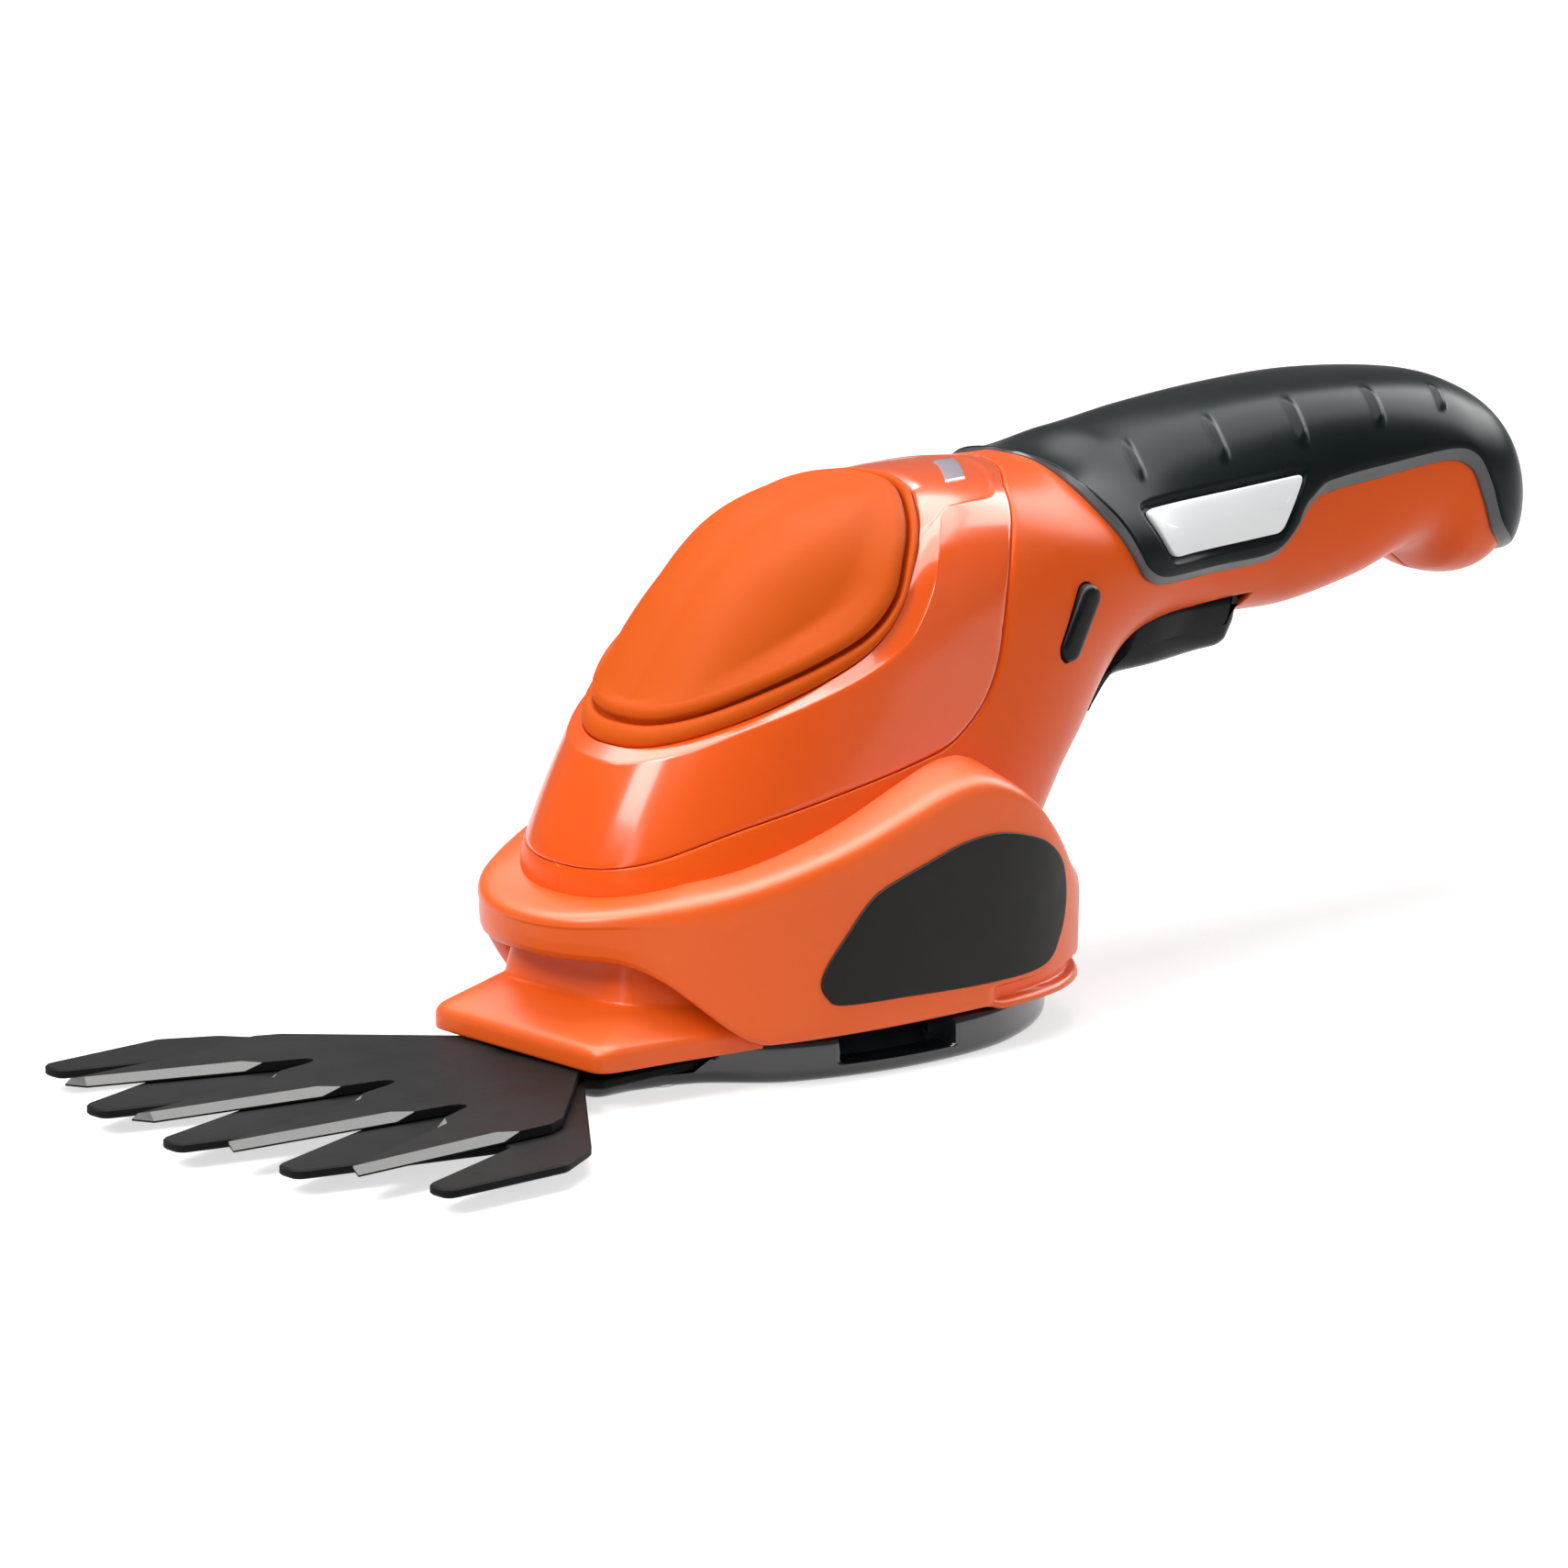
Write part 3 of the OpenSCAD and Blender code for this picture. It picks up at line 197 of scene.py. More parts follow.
def make(name, verts, faces, mats, face_mats=None, sharp=None):
    """Object from points in millimetres; an edge bent by more than sharp degrees stays hard."""
    mesh = bpy.data.meshes.new(name)
    points = [tuple(float(c) * MM for c in v) for v in verts]
    mesh.from_pydata(points, [], [tuple(int(i) for i in f) for f in faces])
    mesh.update()
    for m in mats:
        mesh.materials.append(m)
    if face_mats is not None:
        mesh.polygons.foreach_set("material_index", np.asarray(face_mats, np.int32))
    mesh.polygons.foreach_set("use_smooth", np.ones(len(mesh.polygons), bool))
    ob = bpy.data.objects.new(name, mesh)
    bpy.context.scene.collection.objects.link(ob)
    bm = bmesh.new()
    bm.from_mesh(mesh)
    bmesh.ops.remove_doubles(bm, verts=bm.verts, dist=1e-6)
    bmesh.ops.dissolve_degenerate(bm, edges=bm.edges, dist=1e-7)
    bmesh.ops.recalc_face_normals(bm, faces=bm.faces)
    if sharp is not None:
        for e in bm.edges:
            if len(e.link_faces) == 2 and e.calc_face_angle(0) > math.radians(sharp):
                e.smooth = False
    bm.to_mesh(mesh)
    bm.free()
    mesh.update()
    return ob


def grid_faces(rows, cols, closed=False, base=0):
    """Faces of a grid of points whose first point has the number base."""
    faces = []
    for i in range(rows - 1):
        low, high = base + i * cols, base + (i + 1) * cols
        for j in range(cols if closed else cols - 1):
            k = (j + 1) % cols
            faces.append((low + j, low + k, high + k, high + j))
    return faces


def two_sides(verts, faces):
    """The mesh and its mirror image over Y."""
    v = np.asarray(verts, float)
    m = v * np.array([1, -1, 1])
    n = len(v)
    return np.concatenate([v, m]), list(faces) + [tuple(i + n for i in reversed(f)) for f in faces]


def at_height(xy, z):
    """Plan points (x, y) at the height z, one for all or one each."""
    return np.concatenate([xy, np.broadcast_to(np.reshape(z, (-1, 1)), (len(xy), 1))], 1)


def outward(loop):
    """Unit directions out of a closed loop, across the line through each point's neighbours."""
    after = np.roll(loop, -1, 0)
    d = after - np.roll(loop, 1, 0)
    out = np.stack([d[:, 1], -d[:, 0]], 1) / np.maximum(np.linalg.norm(d, axis=1), 1e-6)[:, None]
    area = np.sum(loop[:, 0] * after[:, 1] - after[:, 0] * loop[:, 1])
    return out if area > 0 else -out


def corner(p, q, r, cut, steps=6):
    """Points of a rounded corner at q between p and r, whose ends lie at the distance cut from q."""
    u, w = (p - q) / np.linalg.norm(p - q), (r - q) / np.linalg.norm(r - q)
    return [q + u * cut * (1 - f) ** 2 + w * cut * f ** 2 for f in np.linspace(0, 1, steps + 1)]


def edges_of(outline):
    """Each edge of a convex outline, as its first point and its outward direction."""
    centre = outline.mean(0)
    for p, q in zip(outline, np.roll(outline, -1, 0)):
        n = np.array([q[1] - p[1], p[0] - q[0]])
        n = n / np.linalg.norm(n)
        yield p, (-n if np.dot(centre - p, n) > 0 else n)


def thicken(ob, depth):
    """Gives a sheet a depth in millimetres, inwards."""
    m = ob.modifiers.new("solidify", "SOLIDIFY")
    m.thickness = depth * MM
    m.offset = -1.0
    deps = bpy.context.evaluated_depsgraph_get()
    mesh = bpy.data.meshes.new_from_object(ob.evaluated_get(deps))
    old = ob.data
    ob.modifiers.clear()
    ob.data = mesh
    bpy.data.meshes.remove(old)


def side_planes(outline, y0, y1):
    """Planes round a convex side-view outline between two Y places, as points and outward directions."""
    planes = [((0, y0, 0), (0, -1, 0)), ((0, y1, 0), (0, 1, 0))]
    for p, n in edges_of(np.asarray(outline, float)):
        planes.append(((p[0], 0, p[1]), (n[0], 0, n[1])))
    return planes


def round_planes(x, y, r, z1, n=20):
    """Planes round an upright bore below the height z1."""
    planes = [((x, y, z1), (0, 0, 1))]
    for k in range(n):
        c, w = math.cos(2 * math.pi * k / n), math.sin(2 * math.pi * k / n)
        planes.append(((x + r * c, y + r * w, 0), (c, w, 0)))
    return planes


def open_hole(ob, planes):
    """Takes the faces inside a set of planes out of a sheet, and cuts only the faces along the edge."""
    planes = [(Vector(co) * MM, Vector(no)) for co, no in planes]
    inside, outside = 2.5 * MM, 1.6 * MM
    bm = bmesh.new()
    bm.from_mesh(ob.data)

    def meets(f, co, no):
        c = f.calc_center_median()
        return (c - co).dot(no) > -inside and all((c - o).dot(w) < outside for o, w in planes)

    for co, no in planes:
        faces = [f for f in bm.faces if meets(f, co, no)]
        geom = faces + list({e for f in faces for e in f.edges}) + list({v for f in faces for v in f.verts})
        bmesh.ops.bisect_plane(bm, geom=geom, dist=1e-7, plane_co=co, plane_no=no)
    gone = [f for f in bm.faces if all((f.calc_center_median() - co).dot(no) < 0 for co, no in planes)]
    bmesh.ops.delete(bm, geom=gone, context="FACES")
    bmesh.ops.remove_doubles(bm, verts=bm.verts, dist=2e-5)
    bm.to_mesh(ob.data)
    bm.free()


def spans(a, b, steps, least):
    """Distance over the body surface from each place of line a to its place on line b, never under least."""
    f = np.linspace(0, 1, steps)[:, None, None]
    across = at(a[None] + (b - a)[None] * f)
    return np.maximum(np.sum(np.linalg.norm(np.diff(across, axis=0), axis=2), 0), least)


def strip(a, b, count, first, last=()):
    """Left half of a sheet on the body surface between two lines of (t, a), and the (t, a) of its points.
    first and last hold pairs of distance from the edge and height, for the rims along a and along b."""
    length = spans(a, b, 9, 0.3)

    def share(d):
        return np.minimum(d / length, 0.45)

    start, stop = share(first[-1][0]), 1 - share(last[0][0] if last else 0)
    steps = np.linspace(0, 1, count + 1)[1:-1 if last else None]
    rows = [(share(d), h) for d, h in first]
    rows += [(start + (stop - start) * q, 0.0) for q in steps]
    rows += [(1 - share(d), h) for d, h in last]
    ta = np.stack([a + (b - a) * f[:, None] for f, _ in rows])
    return lifted(ta, np.array([h for _, h in rows])[:, None]), ta


def between(a, b, profile):
    """Rows of points from line a to line b, at pairs of share and height."""
    return np.stack([lifted(a + (b - a) * f, h) for f, h in profile])


# Materials

def tree(name):
    m = bpy.data.materials.new(name)
    m.use_nodes = True
    nt = m.node_tree
    return m, nt, nt.nodes["Principled BSDF"]


def sockets(node, values):
    for key, value in values.items():
        node.inputs[key].default_value = value


def noise(nt, scale, detail, stretch=None):
    source = nt.nodes.new("ShaderNodeTexCoord").outputs["Object"]
    tex = nt.nodes.new("ShaderNodeTexNoise")
    sockets(tex, {"Scale": scale, "Detail": detail})
    if stretch is not None:
        mp = nt.nodes.new("ShaderNodeMapping")
        sockets(mp, {"Scale": stretch})
        nt.links.new(source, mp.inputs["Vector"])
        source = mp.outputs["Vector"]
    nt.links.new(source, tex.inputs["Vector"])
    return tex.outputs["Fac"]


def ramp(nt, source, low, high, a, b):
    r = nt.nodes.new("ShaderNodeMapRange")
    sockets(r, {"From Min": low, "From Max": high, "To Min": a, "To Max": b})
    nt.links.new(source, r.inputs["Value"])
    return r.outputs["Result"]


def tint(nt, source, low, high, a, b):
    r = nt.nodes.new("ShaderNodeValToRGB")
    for stop, place, colour in zip(r.color_ramp.elements, (low, high), (a, b)):
        stop.position = place
        stop.color = (*colour, 1)
    nt.links.new(source, r.inputs["Fac"])
    return r.outputs["Color"]


def bump(nt, bsdf, source, strength, distance):
    b = nt.nodes.new("ShaderNodeBump")
    sockets(b, {"Strength": strength, "Distance": distance})
    nt.links.new(source, b.inputs["Height"])
    nt.links.new(b.outputs["Normal"], bsdf.inputs["Normal"])


def plastic(name, colour, rough, spread, grain, grain_h, coat=0.0, vary=0.06, spec=0.5):
    """Plastic with soft patches of colour, uneven gloss and a fine grain of height grain_h in millimetres."""
    m, nt, bsdf = tree(name)
    dark = tuple(c * (1 - vary) for c in colour)
    light = tuple(min(1, c * (1 + vary)) for c in colour)
    patch = noise(nt, 22.0, 4.0)
    nt.links.new(tint(nt, patch, 0.3, 0.7, dark, light), bsdf.inputs["Base Color"])
    wear = ramp(nt, noise(nt, 140.0, 6.0), 0.35, 0.7, rough - spread, rough + spread)
    nt.links.new(wear, bsdf.inputs["Roughness"])
    bump(nt, bsdf, noise(nt, grain, 2.0), 0.5, grain_h * MM)
    sockets(bsdf, {"Specular IOR Level": spec, "Coat Weight": coat, "Coat Roughness": 0.08})
    return m


def metal(name, colour, rough, stretch=None, scale=260.0, depth=0.01, share=1.0, spec=0.5):
    """Metal with brush lines of a depth in millimetres; share is how metallic it is."""
    m, nt, bsdf = tree(name)
    sockets(bsdf, {"Metallic": share, "Specular IOR Level": spec})
    line = noise(nt, scale, 4.0, stretch)
    dark = tuple(c * 0.86 for c in colour)
    nt.links.new(tint(nt, line, 0.3, 0.72, dark, colour), bsdf.inputs["Base Color"])
    nt.links.new(ramp(nt, line, 0.3, 0.75, rough - 0.07, rough + 0.09), bsdf.inputs["Roughness"])
    bump(nt, bsdf, line, 0.4, depth * MM)
    return m


# Each plastic: name, colour, roughness and its spread, grain and its height, coat, variation, specular level
PLASTICS = {
    "hood": ("gloss_orange", (0.80, 0.092, 0.004), 0.22, 0.015, 420, 0.002, 0.3, 0.03, 0.35),
    "cap": ("matte_orange", (0.60, 0.089, 0.007), 0.52, 0.03, 900, 0.006, 0.0, 0.04, 0.03),
    "skirt": ("satin_orange", (0.85, 0.114, 0.009), 0.34, 0.02, 700, 0.004, 0.0, 0.04, 0.36),
    "shell": ("body_orange", (0.79, 0.095, 0.005), 0.31, 0.015, 420, 0.002, 0.0, 0.03, 0.13),
    "grip": ("soft_charcoal", (0.005, 0.0085, 0.0095), 0.29, 0.015, 600, 0.0015, 0.0, 0.1, 0.06),
    # Rim material: a lighter grey than the grip's own rubber, a painted highlight along the cover's stepped
    # rim
    "painted_rim_highlight": ("grip_rim", (0.060, 0.062, 0.066), 0.38, 0.04, 1500, 0.006, 0.0, 0.1),
    # notch: a darker, duller black than the sole's own plastic, painted shade inside the sole's notches
    "notch": ("notch_black", (0.003, 0.003, 0.004), 0.6, 0.05, 900, 0.004, 0.0, 0.2, 0.05),
    "sole": ("gloss_black", (0.006, 0.009, 0.012), 0.22, 0.03, 600, 0.002, 0.4, 0.2, 0.55),
    "black": ("satin_black", (0.006, 0.0065, 0.0075), 0.30, 0.04, 1500, 0.004, 0.0, 0.2, 0.14),
    "label": ("bare_white", (0.88, 0.89, 0.90), 0.35, 0.05, 1500, 0.004, 0.0, 0.02),
    "badge": ("bare_grey", (0.015, 0.0145, 0.0135), 0.46, 0.05, 1500, 0.004, 0.0, 0.12, 0.12),
    "coat": ("blade_coat", (0.011, 0.011, 0.011), 0.50, 0.05, 1200, 0.006, 0.0, 0.2, 0.04),
    "lens": ("lens_grey", (0.42, 0.38, 0.43), 0.18, 0.04, 300, 0.003, 0.5, 0.05),
    "nylon": ("nylon", (0.74, 0.71, 0.62), 0.45, 0.06, 900, 0.010),
    "cell": ("cell_wrap", (0.06, 0.20, 0.38), 0.28, 0.05, 700, 0.006),
    "board": ("board_green", (0.03, 0.16, 0.06), 0.38, 0.08, 1200, 0.020),
    "wire": ("wire_red", (0.28, 0.02, 0.02), 0.40, 0.05, 1200, 0.008),
    "magnet": ("magnet_dark", (0.05, 0.05, 0.055), 0.55, 0.08, 1800, 0.030),
}
# Each metal: name, colour, roughness, stretch, scale and depth of its brush lines, share, specular level
METALS = {
    "bevel": ("ground_steel", (0.24, 0.24, 0.235), 0.5, (14, 1, 1), 500.0, 0.0015, 0.0, 0.06),
    "steel": ("turned_steel", (0.60, 0.60, 0.62), 0.30, (1, 1, 9)),
    "plate": ("stamped_plate", (0.58, 0.59, 0.61), 0.38),
    "brass": ("brass", (0.66, 0.48, 0.20), 0.30, (1, 1, 9)),
    "winding": ("winding", (0.52, 0.27, 0.12), 0.35, (1, 1, 16)),
}
MAT = {kind: plastic(*values) for kind, values in PLASTICS.items()}
MAT.update({kind: metal(*values) for kind, values in METALS.items()})


# Camera, floor and light

AZIMUTH, ELEVATION = -42, 13
CAMERA_PLACE = (-988.9, -1108.3, 386.4)
FOCAL_PX, PHOTO_PX, SENSOR = 10050, 1709, 36
FLOOR_REACH, FLOOR_Z, FLOOR_SIDES, FLOOR_GLOW = 9000.0, -0.05, 48, 0.66
WORLD_LIGHT = 0.21


def camera():
    az, el = math.radians(AZIMUTH), math.radians(ELEVATION)
    back = Vector((math.sin(az) * math.cos(el), -math.cos(az) * math.cos(el), math.sin(el)))
    right = Vector((math.cos(az), math.sin(az), 0))
    up = back.cross(right)
    cam = bpy.data.cameras.new("camera")
    cam.sensor_width = SENSOR
    cam.sensor_fit = "HORIZONTAL"
    cam.lens = FOCAL_PX / PHOTO_PX * SENSOR
    cam.clip_end = 50
    ob = bpy.data.objects.new("camera", cam)
    turn = Matrix((right, up, back)).transposed().to_4x4()
    ob.matrix_world = Matrix.Translation(Vector(CAMERA_PLACE) * MM) @ turn
    bpy.context.scene.collection.objects.link(ob)
    bpy.context.scene.camera = ob


def lamp(name, place, target, size, power, size_y=None, gloss_only=False, soft_only=False):
    """Area lamp; gloss_only shows it in reflections only, soft_only keeps it out of them."""
    data = bpy.data.lights.new(name, "AREA")
    data.energy = power
    data.size = size
    if size_y:
        data.shape = "RECTANGLE"
        data.size_y = size_y
    ob = bpy.data.objects.new(name, data)
    ob.location = place
    ob.rotation_euler = (Vector(target) - Vector(place)).to_track_quat("-Z", "Y").to_euler()
    ob.visible_diffuse = not gloss_only
    ob.visible_glossy = not soft_only
    bpy.context.scene.collection.objects.link(ob)


def floor_material():
    """Pale floor that glows for rays from the camera, reflections and transmission only."""
    m, nt, bsdf = tree("pale_floor")
    sockets(bsdf, {"Base Color": (0.55, 0.55, 0.55, 1), "Roughness": 0.7, "Specular IOR Level": 0.1,
                   "Emission Color": (1, 1, 1, 1)})
    path = nt.nodes.new("ShaderNodeLightPath")
    seen = path.outputs["Is Camera Ray"]
    for kind in ("Is Glossy Ray", "Is Transmission Ray"):
        both = nt.nodes.new("ShaderNodeMath")
        both.operation = "MAXIMUM"
        nt.links.new(seen, both.inputs[0])
        nt.links.new(path.outputs[kind], both.inputs[1])
        seen = both.outputs["Value"]
    nt.links.new(ramp(nt, seen, 0, 1, 0, FLOOR_GLOW), bsdf.inputs["Emission Strength"])
    return m


def stage():
    n = FLOOR_SIDES
    turns = [2 * math.pi * i / n for i in range(n)]
    verts = [(0, 0, FLOOR_Z)]
    verts += [(FLOOR_REACH * math.cos(w), FLOOR_REACH * math.sin(w), FLOOR_Z) for w in turns]
    faces = [(0, 1 + i, 1 + (i + 1) % n) for i in range(n)]
    make("floor", verts, faces, [floor_material()])
    world = bpy.data.worlds.new("world")
    bpy.context.scene.world = world
    world.use_nodes = True
    sockets(world.node_tree.nodes["Background"], {"Color": (1, 1, 1, 1), "Strength": WORLD_LIGHT})
    bpy.context.scene.view_settings.view_transform = "Standard"


camera()
stage()
lamp("key", (-1.15, 0.05, 1.10), (0.0, 0, 0.05), 0.6, 18)
lamp("strip", (-1.45, -0.35, 0.35), (-0.02, 0, 0.06), 0.28, 2.6, 1.1)
lamp("fill", (0.75, -1.25, 0.45), (0.12, 0, 0.07), 0.7, 5.5, soft_only=True)
lamp("panel", (1.15, -0.02, 0.74), (0.05, 0, 0.08), 0.9, 24, gloss_only=True)
lamp("ceiling", (-0.12, 0.2, 1.35), (-0.12, 0.2, 0.0), 2.35, 170, 2.4, gloss_only=True)
lamp("top", (0.05, 0.05, 1.5), (0.05, 0, 0.05), 0.8, 12)


# Hood and cap, by side-view lines (x, z) from the rear top to the front

RIM = [(0.0, -2.4), (0.04, -0.7), (0.16, -0.28), (0.42, -0.07), (0.9, 0.0)]
SEAM = np.array([[54.5, 91.7], [45.5, 89.8], [39.6, 84.0], [35.8, 75.7], [33.5, 66.9], [31.3, 61.1],
                 [27.8, 56.3], [21.3, 51.8], [13.3, 49.7], [-5.9, 46.1], [-22.5, 42.4], [-35.4, 37.7]])
CREASE = np.array([[48.5, 91.9], [44.4, 91.0], [39.8, 89.4], [34.0, 89.2], [28.9, 88.9], [25.6, 86.6],
                   [22.1, 81.9], [18.9, 76.3], [13.4, 69.9], [6.0, 65.9], [-5.1, 62.2], [-18.0, 58.3],
                   [-26.4, 55.0], [-30.9, 52.9]])
BEAD = np.array([[29.2, 92.5], [25.7, 90.5], [22.9, 87.9], [18.4, 82.2], [13.2, 74.6], [6.5, 68.9],
                 [-2.8, 64.8], [-14.1, 60.9], [-23.6, 57.8], [-28.2, 56.4]])
GROOVE = np.array([[27.6, 92.6], [24.7, 91.0], [21.6, 88.4], [17.1, 83.0], [12.8, 76.4], [6.9, 71.7],
                   [-1.8, 68.1], [-13.5, 64.1], [-22.4, 61.0], [-26.8, 59.4]])


def loop_on_body(points, n, low, high, rear=0.45, front=0.6):
    """Even places of a side-view line, carried on to the middle line at the rear top and at the front."""
    count = 300
    ta = on_body(resample(points, count), low, high)
    i = max(1, int(np.argmax(ta[:, 1] > rear)))
    j = count - 1 - max(1, int(np.argmax(ta[::-1, 1] > front)))
    line = ta[i:j + 1]

    def end(p, q):
        slope = (p[0] - q[0]) / (p[1] - q[1])
        slope = max(-1.6, min(1.6, slope))
        t0 = p[0] - slope * p[1] / 2
        a = np.linspace(0, p[1], 30)[:-1]
        return np.stack([t0 + (p[0] - t0) * (a / p[1]) ** 2, a], 1)

    first = end(line[0], line[6])
    last = end(line[-1], line[-7])[::-1]
    line = np.concatenate([first, line, last])
    return spread(line, at(line), n)


N = 170
seam = loop_on_body(SEAM, N, 0.4, 8.4)
crease = loop_on_body(CREASE, N, 1.6, 8.3)
bead = loop_on_body(BEAD, N, 2.0, 7.8)
groove = loop_on_body(GROOVE, N, 2.0, 7.8)
# Ridge of the cap, in row place and angle
CAP_RIDGE = np.array([[3.2, 0.29], [3.75, 0.31], [4.062, 0.345], [4.572, 0.323], [5.1, 0.30], [5.448, 0.375],
                      [5.886, 0.455], [6.348, 0.40], [6.907, 0.235], [7.3, 0.12]])
HOOD_BAND = [(0.05, -0.20), (0.3, -0.53), (0.55, -0.85), (0.8, -1.18), (0.95, -1.37), (0.98, -1.7), (1.0, -6)]
ROUND_BEAD = [(0.0, -7.0), (0.01, -1.9), (0.05, -1.35), (0.15, -0.85), (0.34, -0.52), (0.55, -0.45),
              (0.74, -0.55), (0.88, -0.95), (0.96, -1.6), (1.0, -3.2)]
CAP_RIM = [(0.6, -3.2), (0.66, -1.2), (0.8, -0.7), (1.2, -0.3), (1.9, -0.05), (2.9, 0.1)]


def build_hood():
    """Hood from its seam with the body halves up to the crease, and the sunk band from there to the cap."""
    outer, _ = strip(seam, crease, 26, RIM, [(0.8, 0.0), (0.35, 0.0), (0.0, -0.12)])
    xyz = np.concatenate([outer, between(crease, bead, HOOD_BAND)])
    v, f = two_sides(xyz.reshape(-1, 3), grid_faces(len(xyz), N))
    return make("hood_cover", v, f, [MAT["hood"]], sharp=32)


def ridge_height(ta):
    """Fall of the cap's top and flanks from the soft ridge between them."""
    line = smooth(CAP_RIDGE, np.linspace(0, len(CAP_RIDGE) - 1, 400))
    line = spread(line, at(line), 400)
    d = np.min(np.linalg.norm(at(ta)[..., None, :] - at(line), axis=-1), -1)
    flank = smoothstep(ta[..., 1] - np.interp(ta[..., 0], line[:, 0], line[:, 1]), -0.03, 0.03)
    return -(0.9 + 1.3 * flank) * (1 - np.maximum(1 - (np.sqrt(d ** 2 + 2.0) - 1.414) / 11.0, 0))


def build_cap():
    """Cap with its bead, the groove behind the bead and the crown."""
    spine_t = np.linspace(groove[0, 0] - 0.35, groove[-1, 0] + 0.45, N)
    spine = np.stack([spine_t, np.zeros(N)], 1)
    xyz, ta = strip(groove, spine, 44, CAP_RIM)
    lift = ridge_height(ta) * smoothstep(np.arange(len(ta)), len(CAP_RIM) - 3, len(CAP_RIM) + 9)[:, None]
    xyz = xyz + normal(ta[..., 0], ta[..., 1]) * lift[..., None]
    xyz = np.concatenate([between(bead, groove, ROUND_BEAD), xyz])
    v, f = two_sides(xyz.reshape(-1, 3), grid_faces(len(xyz), N))
    return make("cap_cover", v, f, [MAT["cap"]])


# Body halves

def button_outline(grow):
    """Side-view outline of the leaning button, a rounded slot larger all round by grow."""
    r, half, n = BUTTON_SIZE[0] / 2 + grow, BUTTON_SIZE[1] / 2 + grow, 12
    turns = [math.pi * i / n for i in range(n + 1)]
    top = [(r * math.cos(w), half - r + r * math.sin(w)) for w in turns]
    both = top + [(-x, -z) for x, z in top]
    lean = math.radians(BUTTON_LEAN)
    c, s = math.cos(lean), math.sin(lean)
    return [(BUTTON[0] + x * c - z * s, BUTTON[1] + x * s + z * c) for x, z in both]


# Trigger slot round the trigger's pin, its half width, and the charging socket's place, radius and top
SLOT = [(-16.5, -14), (-16.5, -9), (-12, -1.5), (-5, 6.4), (24.4, 6.4), (24.4, -14)]
SLOT_HALF = 13.8
SOCKET = (163.5, 0.0, 4.1, 66)
# Distance and height of the edges along the hood and along the split
ROLL = [(0.0, -2.4), (0.05, -0.7), (0.18, -0.28), (0.45, -0.07), (0.95, 0.0)]
SPLIT = [(0.5, 0.0), (0.2, -0.08), (0.0, -0.3)]
SKIN_T = 1.0


def build_shells():
    """Body halves, rolled in along the hood, with holes for the trigger, the button and the socket."""
    front, rear = seam[-1, 0], seam[0, 0]
    t1 = np.linspace(0, front - 0.02, 14)
    t2 = seam[::-1, 0]
    t3 = np.concatenate([np.linspace(rear + 0.03, 16, 150), np.linspace(16.05, LAST, 24)])
    t = np.concatenate([t1, t2, t3])
    low = np.concatenate([0 * t1, seam[::-1, 1], 0 * t3])
    curl = np.concatenate([0 * t1, np.ones(len(t2)), 0 * t3])
    fr = np.linspace(0, 1, 70)
    a = low[:, None] + (math.pi - low[:, None]) * fr[None]
    girth = np.array([np.sum(np.linalg.norm(np.diff(surface(np.full(len(fr), tt), aa), axis=0), axis=1))
                      for tt, aa in zip(t, a)])
    cols = [(low + (math.pi - low) * (d / girth), h * curl) for d, h in ROLL]
    cols += [(low + (math.pi - low) * f, 0 * curl) for f in fr[2:-1]]
    cols += [(math.pi - (math.pi - low) * d / girth, h + 0 * curl) for d, h in SPLIT]
    aa, hh = (np.stack(part, 1) for part in zip(*cols))
    tt = np.repeat(t[:, None], aa.shape[1], 1)
    xyz = lifted(np.stack([tt, aa], -1), hh)
    xyz[..., 1] = np.minimum(xyz[..., 1], -0.02)
    tip = np.tile(xyz[-1].mean(0), (1, xyz.shape[1], 1))
    xyz = np.concatenate([xyz, tip])
    slot = [(TRIGGER[0] + x, TRIGGER[1] + z) for x, z in SLOT]
    parts = []
    for sign, name in ((1, "left_body_skin"), (-1, "right_body_skin")):
        v = xyz.reshape(-1, 3) * np.array([1, sign, 1])
        f = grid_faces(len(xyz), xyz.shape[1])
        ob = make(name, v, f if sign > 0 else [tuple(reversed(q)) for q in f], [MAT["shell"]])
        open_hole(ob, side_planes(slot, -SLOT_HALF, SLOT_HALF))
        open_hole(ob, side_planes(button_outline(0.35), *((-40, -14) if sign > 0 else (14, 40))))
        open_hole(ob, round_planes(*SOCKET))
        thicken(ob, SKIN_T)
        parts.append(ob)
    return parts


# Grip cover, by side-view lines (x, z)

COVER = np.array([[58.6, 91.8], [59.6, 91.3], [60.0, 89.9], [60.6, 87.6], [62.6, 83.5], [65.0, 80.0],
                  [68.4, 74.6], [70.6, 71.8], [74.4, 70.1], [80.6, 69.6], [92.0, 69.5], [103.6, 69.6],
                  [109.0, 72.3], [115.0, 78.4], [120.0, 79.6], [130.0, 80.3], [147.0, 81.2], [153.8, 79.2],
                  [157.2, 73.6], [159.8, 69.0], [162.4, 66.0], [167.3, 62.8], [172.4, 60.6]])
COVER_RIM = [(0.0, -0.3), (0.05, 0.42), (0.2, 0.66), (0.5, 0.8), (1.9, 1.42), (2.15, 1.6), (2.6, 1.74),
             (3.4, COVER_T)]
LABEL = np.array([[72.3, 81.9], [111.6, 83.4], [105.5, 74.6], [77.0, 74.2]])
LABEL_CORNER, LABEL_STEP = 1.6, 1.2
LABEL_EDGE = [(0, 0.95), (0, 1.75), (0.006, 1.95), (0.02, 2.05)]
LABEL_EDGE += [(f, 2.1) for f in (0.05, 0.25, 0.5, 0.75, 1)]
RIBS = [((82.7, 94.8), (75.5, 86.0)), ((100.1, 96.2), (95.0, 86.8)), ((117.7, 96.5), (113.4, 87.4)),
        ((135.7, 96.1), (131.8, 88.4)), ((153.8, 94.1), (148.3, 88.5))]
RIB_H, RIB_HALF, RECESS = 0.75, 0.95, 0.75


